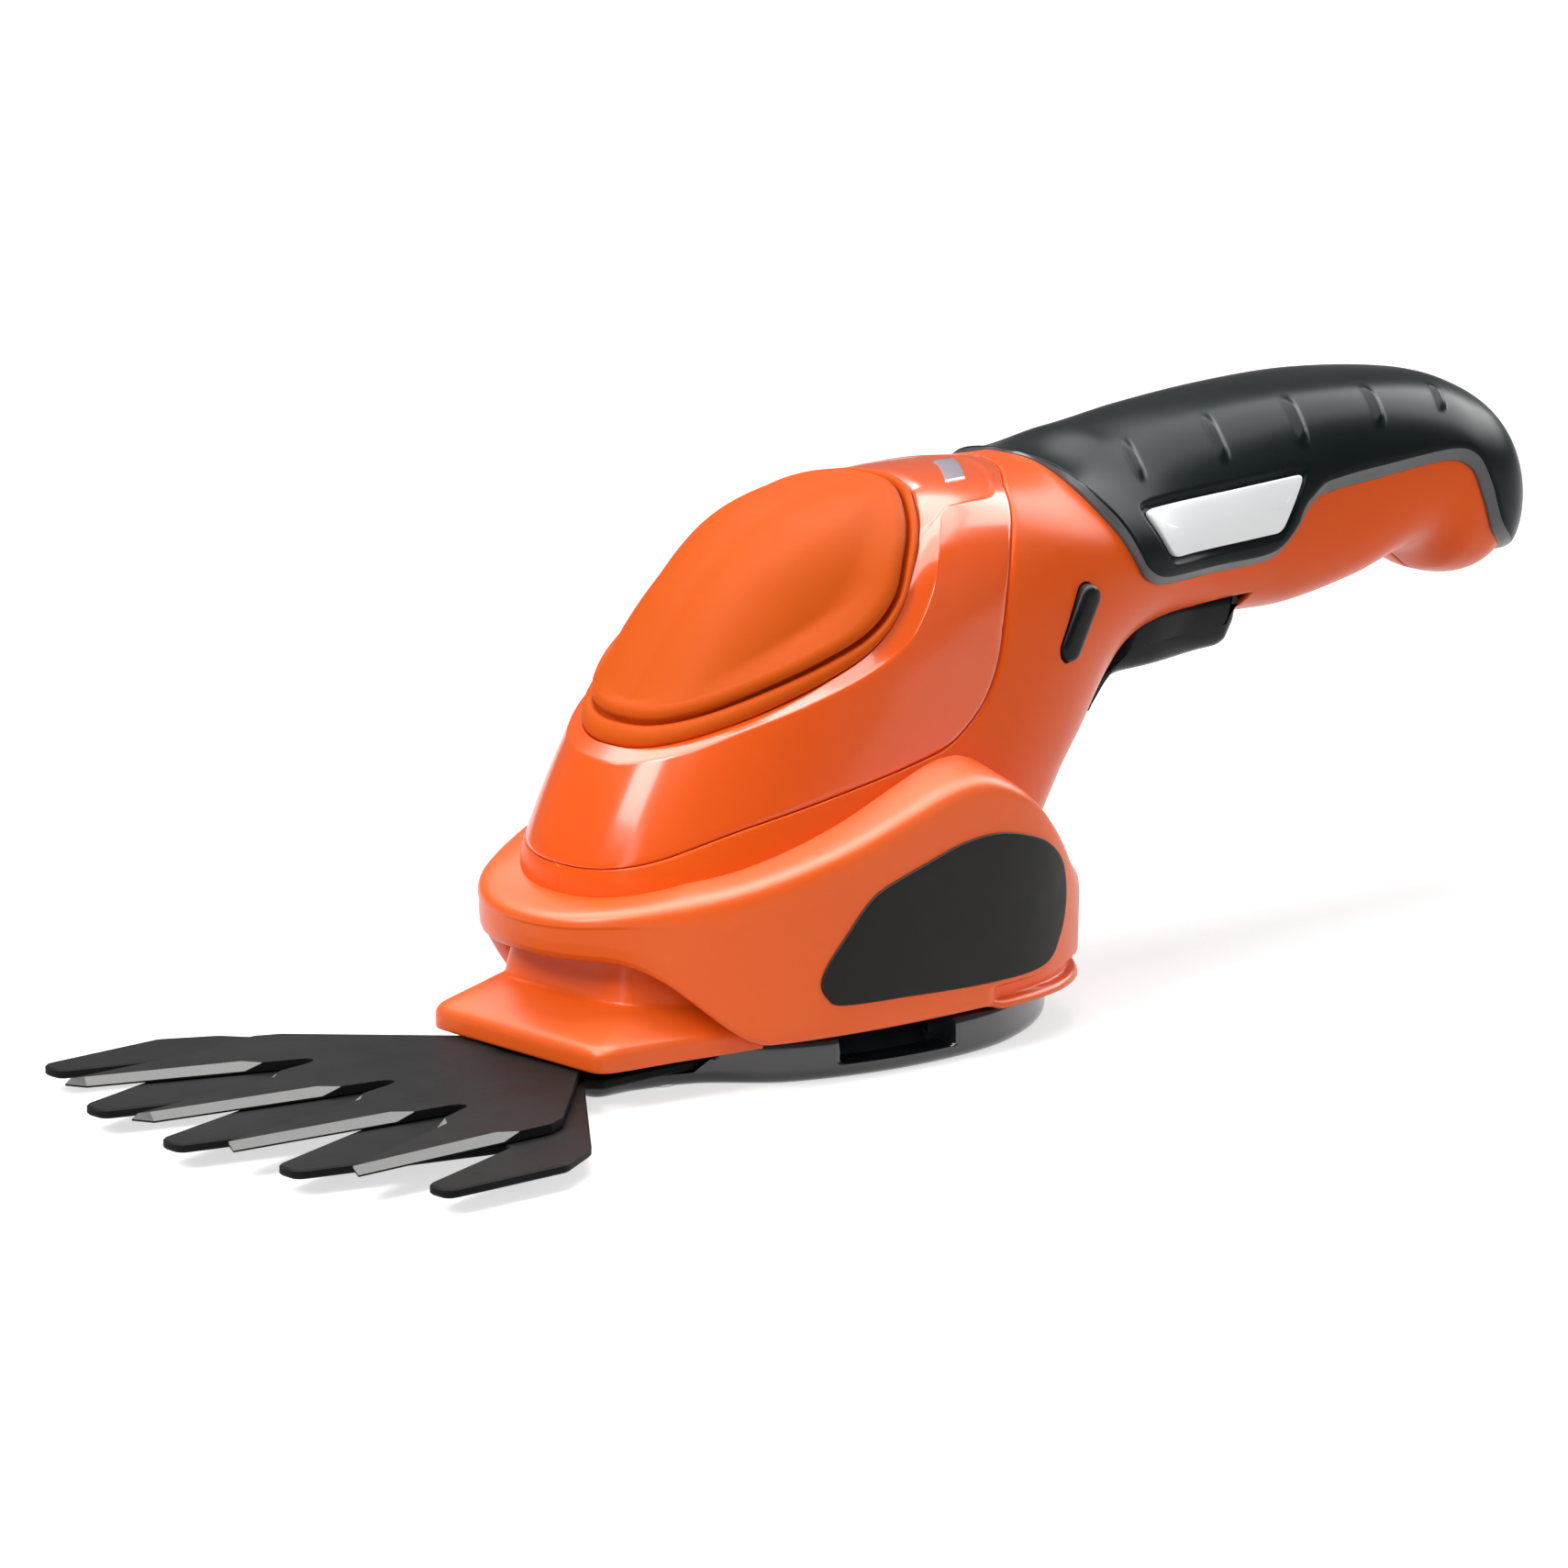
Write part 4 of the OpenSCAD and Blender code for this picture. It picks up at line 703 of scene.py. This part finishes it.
def outline_gap(x, z, outline):
    """Signed distance to a convex side-view outline with softened corners, positive inside."""
    hardness = 1.4
    total = np.zeros(np.shape(x))
    for p, n in edges_of(outline):
        total += np.exp(hardness * ((x - p[0]) * n[0] + (z - p[1]) * n[1]))
    return -np.log(total) / hardness


def cover_height(ta):
    """Height of the ribs above the cover, less the depth of the label's recess."""
    p = at(ta)
    a = ta[..., 1]
    h = np.zeros(ta.shape[:-1])
    for top, foot in RIBS:
        (t0, a0), (t1, a1) = on_body([top], 8, 16)[0], on_body([foot], 7.6, 16)[0]
        tc = t0 + (t1 - t0) * np.clip((a - a0) / (a1 - a0), -0.4, 1.2)
        d = np.linalg.norm(surface(np.clip(tc, 0, LAST), a) - p, axis=-1)
        h += RIB_H * np.exp(-(d / RIB_HALF) ** 4) * window(a, (0.42, 0.66), (a1 - 0.12, a1 + 0.03))
    side = smoothstep(np.abs(p[..., 1]), 8, 12)
    inside = outline_gap(p[..., 0], p[..., 2], LABEL)
    return h - RECESS * smoothstep(inside, -1.15, -0.65) * side


def build_cover():
    """Cover from its edge to the middle line, with its stepped rim in a lighter grey as a painted highlight,
    ribs, label recess and low front.
    """
    n, tail, rim_rows, full = 420, 60, 5, 1.7
    sides = n - tail
    edge = on_body(resample(COVER, sides), 6.9, 16.4)
    edge[0, 1] = 0
    tail_t = np.linspace(edge[-1, 0], LAST, tail + 1)[1:]
    edge = np.concatenate([edge, np.stack([tail_t, np.full(tail, math.pi)], 1)])
    k = np.argmax(edge[:, 1] > math.pi - 0.35)
    edge[k:sides, 1] = np.linspace(edge[k, 1], math.pi, sides - k)
    spine = np.stack([edge[0, 0] + (LAST - edge[0, 0]) * np.linspace(0, 1, n), np.zeros(n)], 1)
    length = spans(edge, spine, 13, 0.4)
    fade = smoothstep(math.pi - edge[:, 1], 0.0, 0.12) + (np.arange(n) < sides - 30)
    open_edge = np.minimum(np.arange(n) < sides, fade)
    low = 1 - smoothstep(edge[:, 1], 0.3, 0.95)
    low[n // 2:] = 0
    rows = []
    for d, h in COVER_RIM:
        height = (COVER_T + (h - COVER_T) * open_edge) * (1 - 0.7 * low * (h > 0))
        rows.append((np.minimum(d / length, 0.4), height))
    start = rows[-1][0]
    rows += [(start + (1 - start) * q, np.full(n, COVER_T)) for q in np.linspace(0, 1, 70)[1:]]
    ta = np.stack([edge + (spine - edge) * g[:, None] for g, _ in rows])
    hh = np.stack([h for _, h in rows])
    hh = hh + cover_height(ta) * (hh > full)
    rise = smoothstep(at(ta)[..., 0] - surface(edge[0, 0], 0.0)[0], 2.0, 16.0)
    top = 1 - smoothstep(ta[..., 1], 0.3, 0.95)
    hh = np.where(hh > full, hh - 1.26 * top * (1 - rise), hh)
    xyz = lifted(ta, hh)
    m = len(ta)
    # The rim rows take the lighter rim material: painted highlight along the cover's edge
    mats = [int(i < rim_rows and j < sides - 4) for i in range(m - 1) for j in range(n - 1)]
    verts = np.concatenate([xyz.reshape(-1, 3), [xyz[:, -1].mean(0) + np.array([0.35, 0, 0])]])
    verts[-1, 1] = 0
    end = [((i + 1) * n + n - 1, i * n + n - 1, m * n) for i in range(m - 1)]
    mats += [0] * len(end)
    v, f = two_sides(verts, grid_faces(m, n) + end)
    return make("grip_skin", v, f, [MAT["grip"], MAT["painted_rim_highlight"]], mats + mats)


def build_label(sign, name):
    """Thin plate with rounded corners in the cover's recess."""
    c = LABEL.mean(0)
    pts = []
    for i in range(4):
        pts += corner(LABEL[i - 1], LABEL[i], LABEL[(i + 1) % 4], LABEL_CORNER)
    loop = []
    for p, q in zip(pts, pts[1:] + pts[:1]):
        m = max(1, int(np.linalg.norm(q - p) / LABEL_STEP))
        loop += [p + (q - p) * k / m for k in range(m)]
    loop = np.array(loop)
    inner = c + (loop - c) * np.array([0.7, 0])
    rows = [lifted(on_body(loop + (inner - loop) * f, 7.2, 13), h) for f, h in LABEL_EDGE]
    xyz = np.concatenate(rows) * np.array([1, sign, 1])
    return make(name, xyz, grid_faces(len(rows), len(loop), True), [MAT["label"]])


# Skirt, badge, nose and sole

CREST = np.array([[-SKIRT_FRONT, 30.5], [-40, 32.5], [-25, 35.2], [-8, 39.6], [6, 44.2], [15.5, 46.9],
                  [23, 47.2], [30, 44.9], [36.5, 40.4], [42, 35.0], [47, 29.4], [53, 26.2],
                  [SKIRT_REAR, 24.5]])
CREST_LINE = smooth(CREST, np.linspace(0, len(CREST) - 1, 400))


# Drop below the crest and inset of the ledge; height over the hem and inset of the foot
LEDGE = np.array([[-4.4, 13.0], [-3.2, 10.0], [-2.0, 7.0], [-1.1, 4.8], [-0.45, 3.2], [0.0, 2.2],
                  [0.55, 1.35], [1.4, 0.65], [2.8, 0.2], [5.0, 0.0]])
FOOT = np.array([[0, 1.9], [0.12, 1.2], [0.5, 0.7], [1.2, 0.4], [3, 0.25], [14, 0]])
LEDGE_ROOM = 16
SKIRT_POWER = (2.3, 2.6)
# Shallow slot low on each side of the skirt, with a lip under it
GAP_X, GAP_Z, GAP_DEPTH = ((23.2, 26.2), (53, 55.5)), ((8.7, 9.1), (11.0, 11.9)), 1.9
GAP_LIP_Z, GAP_LIP_OUT, GAP_LIP_DROP = (8.2, 8.75), 0.9, 0.7


def crest_at(x):
    return np.interp(x, CREST_LINE[:, 0], CREST_LINE[:, 1])


def hem_at(x):
    return (LIP_Z - 8) + (SKIRT_Z - LIP_Z + 8) * smoothstep(x, -SKIRT_FRONT + 4, -SKIRT_FRONT + 28)


def skirt_form(front, inset):
    """Power of the skirt's plan outline and its reach from the middle, ahead of the middle and behind it."""
    reach = np.where(front, SKIRT_MID + SKIRT_FRONT, SKIRT_REAR - SKIRT_MID) - inset
    return np.where(front, *SKIRT_POWER), reach


def ring(ang, inset, z):
    """Points of the skirt's plan outline, moved in by inset, at the height z."""
    c, s = np.cos(ang), np.sin(ang)
    power, reach = skirt_form(c < 0, inset)
    x, y = SKIRT_MID + reach * spow(c, 2 / power), (SKIRT_HALF - inset) * spow(s, 2 / power)
    return np.stack([x, y, z], -1)


def skirt_inset(z, hem, crest):
    """Inset of the skirt's outer face from its plan outline, from the ledge at the top to the hem."""
    k = np.minimum(1, (crest - hem) / LEDGE_ROOM)
    return np.interp((crest - z) / k, LEDGE[:, 0], LEDGE[:, 1]) + np.interp(z - hem, FOOT[:, 0], FOOT[:, 1])


def build_skirt():
    """Skirt from the inside of its hem up to the ledge, with a slot low on each side."""
    n = 320
    ang = 2 * np.pi * np.arange(n) / n
    plan_x = ring(ang, 0.0, 0 * ang)[:, 0]
    hem, crest = hem_at(plan_x), crest_at(plan_x)
    k = np.minimum(1, (crest - hem) / LEDGE_ROOM)
    rows = [ring(ang, 3.8, hem + 3.0), ring(ang, 3.4, hem + 0.3), ring(ang, 2.7, hem)]
    low_end = crest - LEDGE[-1, 0] * k
    for share in np.concatenate([np.linspace(0, 0.2, 22), np.linspace(0.2, 1, 30)[1:]]):
        z = hem + (low_end - hem) * share
        rows.append(ring(ang, skirt_inset(z, hem, crest), z))
    rows += [ring(ang, inset, crest - d * k) for d, inset in resample(LEDGE[::-1], 34)[1:]]
    rows.append(ring(ang, 13.4, crest - 4))
    xyz = np.stack(rows)
    x, y, z = np.moveaxis(xyz.copy(), -1, 0)
    along = window(x, *GAP_X) * (np.abs(y) > 8)
    pocket = along * window(z, *GAP_Z)
    lip = along * (1 - smoothstep(z, *GAP_LIP_Z))
    pocket[:3] = 0
    lip[:2] = 0
    way = np.stack([x - SKIRT_MID, y, 0 * z], -1)
    way = way / np.linalg.norm(way, axis=-1, keepdims=True)
    xyz = xyz + way * (GAP_LIP_OUT * lip - GAP_DEPTH * pocket)[..., None]
    xyz[..., 2] -= GAP_LIP_DROP * lip
    return make("skirt_skin", xyz.reshape(-1, 3), grid_faces(len(rows), n, True), [MAT["skirt"]])


BADGE = np.array([[-12.6, 17.6], [-11.3, 15.0], [-8.4, 13.6], [4.6, 13.2], [22.3, 12.6], [36.0, 13.2],
                  [40.6, 17.2], [42.4, 22.4], [42.0, 27.9], [39.4, 31.8], [34.0, 35.2], [25.0, 37.6],
                  [16.5, 37.3], [8.6, 35.2], [-0.4, 32.2], [-4.2, 29.6], [-7.8, 25.4], [-11.2, 21.1]])
BADGE_MID = np.array([18.0, 25.0])
BADGE_EDGE = [(0, 0.05), (0, 0.32), (0.012, 0.42)] + [(f, 0.45) for f in (0.03, 0.2, 0.4, 0.6, 0.8, 1)]


def skirt_side(x, z, extra):
    """Point of the skirt's left face at side-view place (x, z), moved out by extra."""
    inset = skirt_inset(z, hem_at(x), crest_at(x)) - extra
    power, reach = skirt_form(x < SKIRT_MID, inset)
    y = -(SKIRT_HALF - inset) * np.maximum(1 - (np.abs(x - SKIRT_MID) / reach) ** power, 0) ** (1 / power)
    return np.stack([x, y, z], -1)


def build_badge(sign, name):
    """Thin bare plate that follows the skirt's side."""
    closed = np.concatenate([BADGE, BADGE[:3]])
    fine = smooth(closed, np.linspace(1, len(BADGE) + 1, 201))[:-1]
    rows = []
    for f, h in BADGE_EDGE:
        p = fine + (BADGE_MID - fine) * f
        rows.append(skirt_side(p[:, 0], p[:, 1], h))
    xyz = np.concatenate(rows) * np.array([1, sign, 1])
    return make(name, xyz, grid_faces(len(rows), len(fine), True), [MAT["badge"]])


# Left half of the nose in plan: its outer edge, the throat above the blades and the wall behind
NOSE = np.array([[-50.3, 0], [-50.3, -8], [-50.3, -16], [-50.0, -19.6], [-48.4, -21.4], [-44.5, -22.2],
                 [-36, -23.3], [-28, -24.6], [-19, -26.0]])
THROAT = np.array([[-40.4, 0], [-40.4, -6], [-40.2, -11], [-39.2, -14.4], [-37.0, -16.4], [-33.6, -17.8],
                   [-29, -19.4], [-24, -20.8], [-18, -22.2]])
NOSE_WALL = np.array([[-28.5, -19.4], [-25.2, -20.6], [-23.4, -22.8], [-22.5, -26], [-22.2, -29.3]])
# Share of the way from the outer edge to the throat, and height
NOSE_RISE = np.array([[0.5, 6.5], [0.08, 6.5], [0.015, 6.65], [0.0, 7.2], [0.0, 8.8], [0.015, 9.7],
                      [0.06, 10.4], [0.14, 11.0], [0.5, 12.9], [0.8, 14.5], [0.91, 15.05], [0.965, 15.5],
                      [0.99, 16.5], [1.03, 18.4], [1.08, 21.0], [1.12, 25.0]])


def build_nose():
    """Nose from its lip over the deck to the throat, and a wall behind each of its sides."""
    n, wall_n, wall_rows = 110, 24, 12
    outer, throat = resample(NOSE, n), resample(THROAT, n)
    side = smoothstep(np.arange(n) / n, 0.35, 0.75)
    rows = []
    for f, z in resample(NOSE_RISE, 60):
        low = z - 0.9 * side * np.clip((z - 9) / 5, 0, 1)
        rows.append(at_height(outer + (throat - outer) * f, low))
    xyz = np.stack(rows)
    xyz[:, 0, 1] = 0
    wall = resample(NOSE_WALL, wall_n)
    back = np.concatenate([at_height(wall, z) for z in np.linspace(8.3, 25, wall_rows)])
    faces = grid_faces(len(xyz), n) + grid_faces(wall_rows, wall_n, base=len(xyz) * n)
    v, f = two_sides(np.concatenate([xyz.reshape(-1, 3), back]), faces)
    return make("nose_skin", v, f, [MAT["skirt"]])


SOLE = np.array([[-46.0, 0], [-45.9, 8], [-45.4, 12.4], [-43.0, 14.6], [-36, 15.2], [-26, 18.5], [-14, 28],
                 [6, 33.6], [28, 33.0], [46, 24], [55, 11], [56.5, 0]])
SOLE_MID = np.array([4, 0])
SOLE_EDGE = [(4.0, 0.0), (2.4, 0.02), (1.3, 0.25), (0.55, 0.8), (0.15, 1.6)]
SOLE_EDGE += [(0.0, z) for z in (2.4, 2.6, 2.8, 3.0, 3.2, 3.4, 4.2, 5.2)]
SOLE_EDGE += [(0.05, 6.2), (0.2, 6.9), (0.6, 7.3), (1.4, 7.5), (2.4, 7.6), (4.4, 7.6), (4.4, 3.0)]
NOTCH_X, NOTCH_Z, NOTCH_DEPTH = ((-6.5, -4.5), (14.5, 16.5)), (2.6, 3.4), 7.0
DECK_Z, DECK_X, DECK_SLOPE = 2.4, -27, 0.9


def build_sole():
    """Sole with a notch in each side, whose inner faces take a darker, duller black as painted shade, and a
    low front under the blades.
    """
    half = resample(SOLE, 220)
    loop = np.concatenate([half, half[-2:0:-1] * np.array([1, -1])])
    n = len(loop)
    out = outward(loop)
    rows = [at_height(loop * 0.5 + SOLE_MID, 0.0)]
    rows += [at_height(loop - out * inset, z) for inset, z in SOLE_EDGE]
    xyz = np.stack(rows)
    x, y, z = np.moveaxis(xyz, -1, 0)
    pull = window(x, *NOTCH_X) * smoothstep(z, *NOTCH_Z) * (np.abs(y) > 18)
    pull[-1] = 0
    xyz[..., 1] -= np.sign(y) * NOTCH_DEPTH * pull
    deck = DECK_Z + np.clip((x - DECK_X) * DECK_SLOPE, 0, 6)
    xyz[..., 2] = np.where((x < -20) & (z > DECK_Z), np.minimum(z, deck), z)
    verts = np.concatenate([xyz.reshape(-1, 3), [[*SOLE_MID, 0.0]]])
    faces = grid_faces(len(rows), n, True)
    faces += [(len(verts) - 1, (j + 1) % n, j) for j in range(n)]
    # Faces deep in each notch take the notch material: painted shade in the recess
    inside = np.append(pull.reshape(-1) > 0.6, False)
    notch_shade_index = [int(all(inside[i] for i in f)) for f in faces]
    return make("sole_skin", verts, faces, [MAT["sole"], MAT["notch"]], notch_shade_index, sharp=50)


# Blades

def fillet(points, radii):
    """Outline with rounded corners."""
    out = []
    n = len(points)
    for i, radius in enumerate(radii):
        p, q, r = (np.array(points[j % n], float) for j in (i - 1, i, i + 1))
        pq, rq = np.linalg.norm(p - q), np.linalg.norm(r - q)
        turn = math.acos(max(-1, min(1, float(np.dot(p - q, r - q) / (pq * rq)))))
        out += corner(p, q, r, min(radius / math.tan(turn / 2), 0.48 * pq, 0.48 * rq))
    return np.array(out)


def slab(name, outline, z0, z1, mats, edge):
    """Flat blade with small chamfers all round."""
    n = len(outline)
    inner = outline - outward(outline) * edge
    rows = [(inner, z0), (outline, z0 + edge), (outline, z1 - edge), (inner, z1)]
    v = np.concatenate([at_height(q, z) for q, z in rows])
    f = grid_faces(4, n, True)
    f += [tuple(range(n - 1, -1, -1)), tuple(range(3 * n, 4 * n))]
    return make(name, v, f, mats, sharp=25)


# Half of the comb from its tail to its middle tooth, as reach from the pivot, offset and corner radius
COMB = [(-13, 17.5, 1), (8, 17.5, 1), (10, 15, 2), (36, 47, 5), (45, 51.9, 4), (69.4, 51.6, 2.3),
        (69.4, 46.5, 2.3), (45.5, 38.5, 0.9), (45.5, 36.5, 0.9), (79.6, 27.0, 2.3), (79.6, 22.0, 2.3),
        (51, 12.85, 0.9), (51, 10.85, 0.9), (83.4, 2.5, 2.3)]
# Half of the cutter's tail, as reach from the pivot and offset
CUTTER_TAIL = [(-46, FORK_HALF), (-46, FORK_HALF + 4), (-34, FORK_HALF + 4), (-22, 8), (-6, 8), (0, 10.5),
               (8, 12), (32, 35.4)]
FORK_END, TIP_HALF, TAIL_DROP = -29, 1.7, 0.6
# Each tooth: outer root, inner root, middle of the tip, reach of its corners, the gap beyond and its points
TEETH = [((36, 37.3), (40.5, 20.9), 35.5, (75.4, 73.6), (39.6, 19.35), 7),
         ((40.5, 17.8), (39.5, 1.5), 11.2, (80.8, 79.0), (38.6, 0.0), 4)]


def build_comb():
    points = [(PIVOT_X - x, y) for x, y, _ in COMB] + [(PIVOT_X - x, -y) for x, y, _ in COMB[::-1]]
    radii = [r for _, _, r in COMB]
    return slab("comb_steel", fillet(points, radii + radii[::-1]), *COMB_Z, [MAT["coat"]], 0.3)


def build_cutter():
    """Cutter with bright ground bevels along both sides of each tooth."""
    pairs = [(p, p) for p in CUTTER_TAIL]

    def tooth_edge(root, tip, side):
        """Pairs of outer and top points from root to tip; side is the direction to the tooth's inside."""
        a, b = np.array(root, float), np.array(tip, float)
        way = (b - a) / np.linalg.norm(b - a)
        nor = np.array([-way[1], way[0]])
        if nor[1] * side < 0:
            nor = -nor
        s0, s1 = a + (b - a) * 0.17, a + (b - a) * 0.25
        return [(a, a), (s0, s0), (s1, s1 + nor * 2.0), (b, b + nor * 1.4)]

    def whole(half):
        """Plan outline of both sides with the inner corners of the fork."""
        half = np.array(half)
        fork = [[FORK_END, -FORK_HALF], [FORK_END, FORK_HALF]]
        both = np.concatenate([half, half[-2::-1] * np.array([1, -1]), fork])
        return np.stack([PIVOT_X - both[:, 0], both[:, 1]], 1)

    for outer_root, inner_root, mid, (far, near), (gap_x, gap_y), count in TEETH:
        pairs += tooth_edge(outer_root, (far, mid + TIP_HALF), -1)
        pairs += tooth_edge(inner_root, (near, mid - TIP_HALF), 1)[::-1]
        for k in range(1, count + 1):
            w = math.pi * k / 8
            p = (gap_x - 0.9 * math.sin(w), gap_y + 1.1 * math.cos(w))
            pairs.append((p, p))
    outer, top = whole([p[0] for p in pairs]), whole([p[1] for p in pairs])
    n = len(outer)
    flat = np.linalg.norm(outer - top, axis=1) < 1e-6
    z0, z1 = CUTTER_Z
    v = np.concatenate([at_height(outer, z0), at_height(outer, np.where(flat, z1 - 0.12, BEVEL_Z)),
                        at_height(top, z1)])
    v[:, 2] -= TAIL_DROP * smoothstep(v[:, 0], -30, -22)
    faces = grid_faces(3, n, True)
    mats = [0] * n + [int(not (flat[j] and flat[(j + 1) % n])) for j in range(n)]
    faces += [tuple(range(n - 1, -1, -1)), tuple(range(2 * n, 3 * n))]
    mats += [0, 0]
    return make("cutter_steel", v, faces, [MAT["coat"], MAT["bevel"]], mats, sharp=20)


# Controls

# Side-view outline round the trigger's pin; offset across and inset of the cheek
TRIGGER_EDGE = np.array([[-14.0, -9.6], [-12.1, -7.0], [-9.6, -5.3], [-6, -4.5], [0.2, -4.3], [8, -4.0],
                         [14.5, -3.6], [18.6, -3.4], [20.6, -2.6], [21.8, -0.9], [23.0, 1.2], [23.6, 4.0],
                         [18, 4.4], [6, 4.5], [-1, 4.0], [-6.5, 1.2], [-10.5, -3.4], [-13.6, -8.0]])
TRIGGER_CHEEK = [(TRIGGER_HALF, 2.9), (12.4, 2.3), (12.1, 1.6), (11.6, 1.0), (10.9, 0.5), (9.9, 0.15),
                 (9.2, 0.0), (4, 0), (0, 0)]


def build_trigger():
    """Lever with rounded cheeks, a little wider over its pin."""
    edge = TRIGGER_EDGE
    laps = smooth(np.concatenate([edge[-2:], edge, edge[:3]]), np.linspace(2, len(edge) + 2, 500))
    fine = spread(laps, laps, 141)[:-1]
    nor = outward(fine)
    thin = np.clip((fine[:, 0] + 14.6) / 9, 0.12, 1)[:, None]
    wide = 1 + 0.076 * (1 - smoothstep(fine[:, 0], 1.0, 13.0))
    x = np.interp(fine[:, 0], [-14.0, 23.6], [-13.2, 19.5]) + TRIGGER[0]
    z = np.interp(fine[:, 0], [-14.0, -8, 0, 23.6], [-8.3, -2.2, 0.2, 0.8]) + TRIGGER[1]
    rows = [np.stack([x, -TRIGGER_HALF * wide, z], 1)]
    for y, inset in TRIGGER_CHEEK:
        p = fine - nor * inset * thin + np.array(TRIGGER)
        cheek = 2.6 * smoothstep(fine[:, 1], 0.5, 4.0) * (y > 9)
        rows.append(np.stack([p[:, 0], -y * wide, p[:, 1] + cheek], 1))
    rows += [r * np.array([1, -1, 1]) for r in rows[-2::-1]]
    faces = grid_faces(len(rows), len(fine), True)
    return make("trigger_lever", np.concatenate(rows), faces, [MAT["black"]], sharp=60)


def build_button():
    """Slide button that stands out on both sides of the body."""
    reach = -at(on_body([BUTTON], 4, 9)[0])[1] + 1.2
    rows = []
    for y, grow in [(9, -1.0), (16, -0.6), (17, 0), (reach - 0.7, 0.0), (reach - 0.25, -0.2), (reach, -0.65),
                    (reach + 0.15, -1.3)]:
        rows.append(np.array([(x, -y, z) for x, z in button_outline(grow)]))
    n = len(rows[0])
    half = np.concatenate(rows)
    m = len(half)
    f = grid_faces(len(rows), n, True) + [tuple(range(m - 1, m - n - 1, -1))]
    v, f = two_sides(half, f)
    f += [(j, (j + 1) % n, m + (j + 1) % n, m + j) for j in range(n)]
    return make("lock_button", v, f, [MAT["black"]], sharp=50)


# Share of the half length and height over the hood
LENS_EDGE = [(-1.0, -0.8), (-1.0, 0.1), (-0.94, 0.22), (-0.8, 0.28), (0, 0.3), (0.8, 0.28), (0.94, 0.22),
             (1.0, 0.1), (1.0, -0.8)]
LENS_HALF, LENS_REAR, HOOD_TOP = 2.3, 44.8, 91.0


def build_lens(hood):
    """Window on the left of the neck, swept forward towards its outer end, a little proud of the hood."""
    n = 45
    across = -5.2 + 5.4 * np.linspace(-1, 1, n)
    mid = LENS_REAR - 7.4 * np.abs(across / 11) ** 1.2
    points = []
    for f, h in LENS_EDGE:
        for k in range(n):
            x, y = mid[k] + LENS_HALF * f, across[k]
            hit, place, _, _ = hood.ray_cast((x * MM, y * MM, 0.2), (0, 0, -1))
            drop = 0.9 if k in (0, n - 1) else 0.0
            points.append((x, y, (place[2] / MM if hit else HOOD_TOP) + h - drop))
    return make("lens_window", points, grid_faces(len(LENS_EDGE), n), [MAT["lens"]])


def dress(ob, node, body="housing"):
    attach(ob, body)
    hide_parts(node)


hood_cover = build_hood()
dress(hood_cover, "hood")
dress(build_cap(), "top_cap")
left, right = build_shells()
dress(left, "left_body_shell")
dress(right, "right_body_shell")
dress(build_cover(), "grip_cover")
dress(build_label(1, "left_label"), "left_label_plate")
dress(build_label(-1, "right_label"), "right_label_plate")
dress(build_skirt(), "base_housing")
dress(build_badge(1, "left_badge"), "left_side_badge")
dress(build_badge(-1, "right_badge"), "right_side_badge")
dress(build_nose(), "nose_guard")
dress(build_sole(), "sole_plate")
dress(build_comb(), "comb_blade")
dress(build_cutter(), "cutter_blade", "cutter")
dress(build_trigger(), "trigger", "trigger")
dress(build_button(), "lock_off_button", "button")
dress(build_lens(hood_cover), "indicator_lens")

KEPT = {
    "steel": ["blade_pivot", "pivot_washer", "trigger_pin", "crank_pin", "idler_axle", "motor_can",
              "contact_tabs", "case_screws", "sole_screws", "motor_screws"],
    "plate": ["gear_plate", "motor_plate"],
    "brass": ["crank_bush", "motor_pinion"],
    "nylon": ["crank_gear", "idler_gear", "motor_end_cap", "switch_plunger"],
    "magnet": ["motor_magnets"],
    "winding": ["rotor"],
    "cell": ["battery_cell"],
    "board": ["circuit_board"],
    "black": ["micro_switch", "charge_socket"],
    "wire": ["motor_leads"],
}
for kind, nodes in KEPT.items():
    for node in nodes:
        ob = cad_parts[node]
        ob.data.materials.clear()
        ob.data.materials.append(MAT[kind])
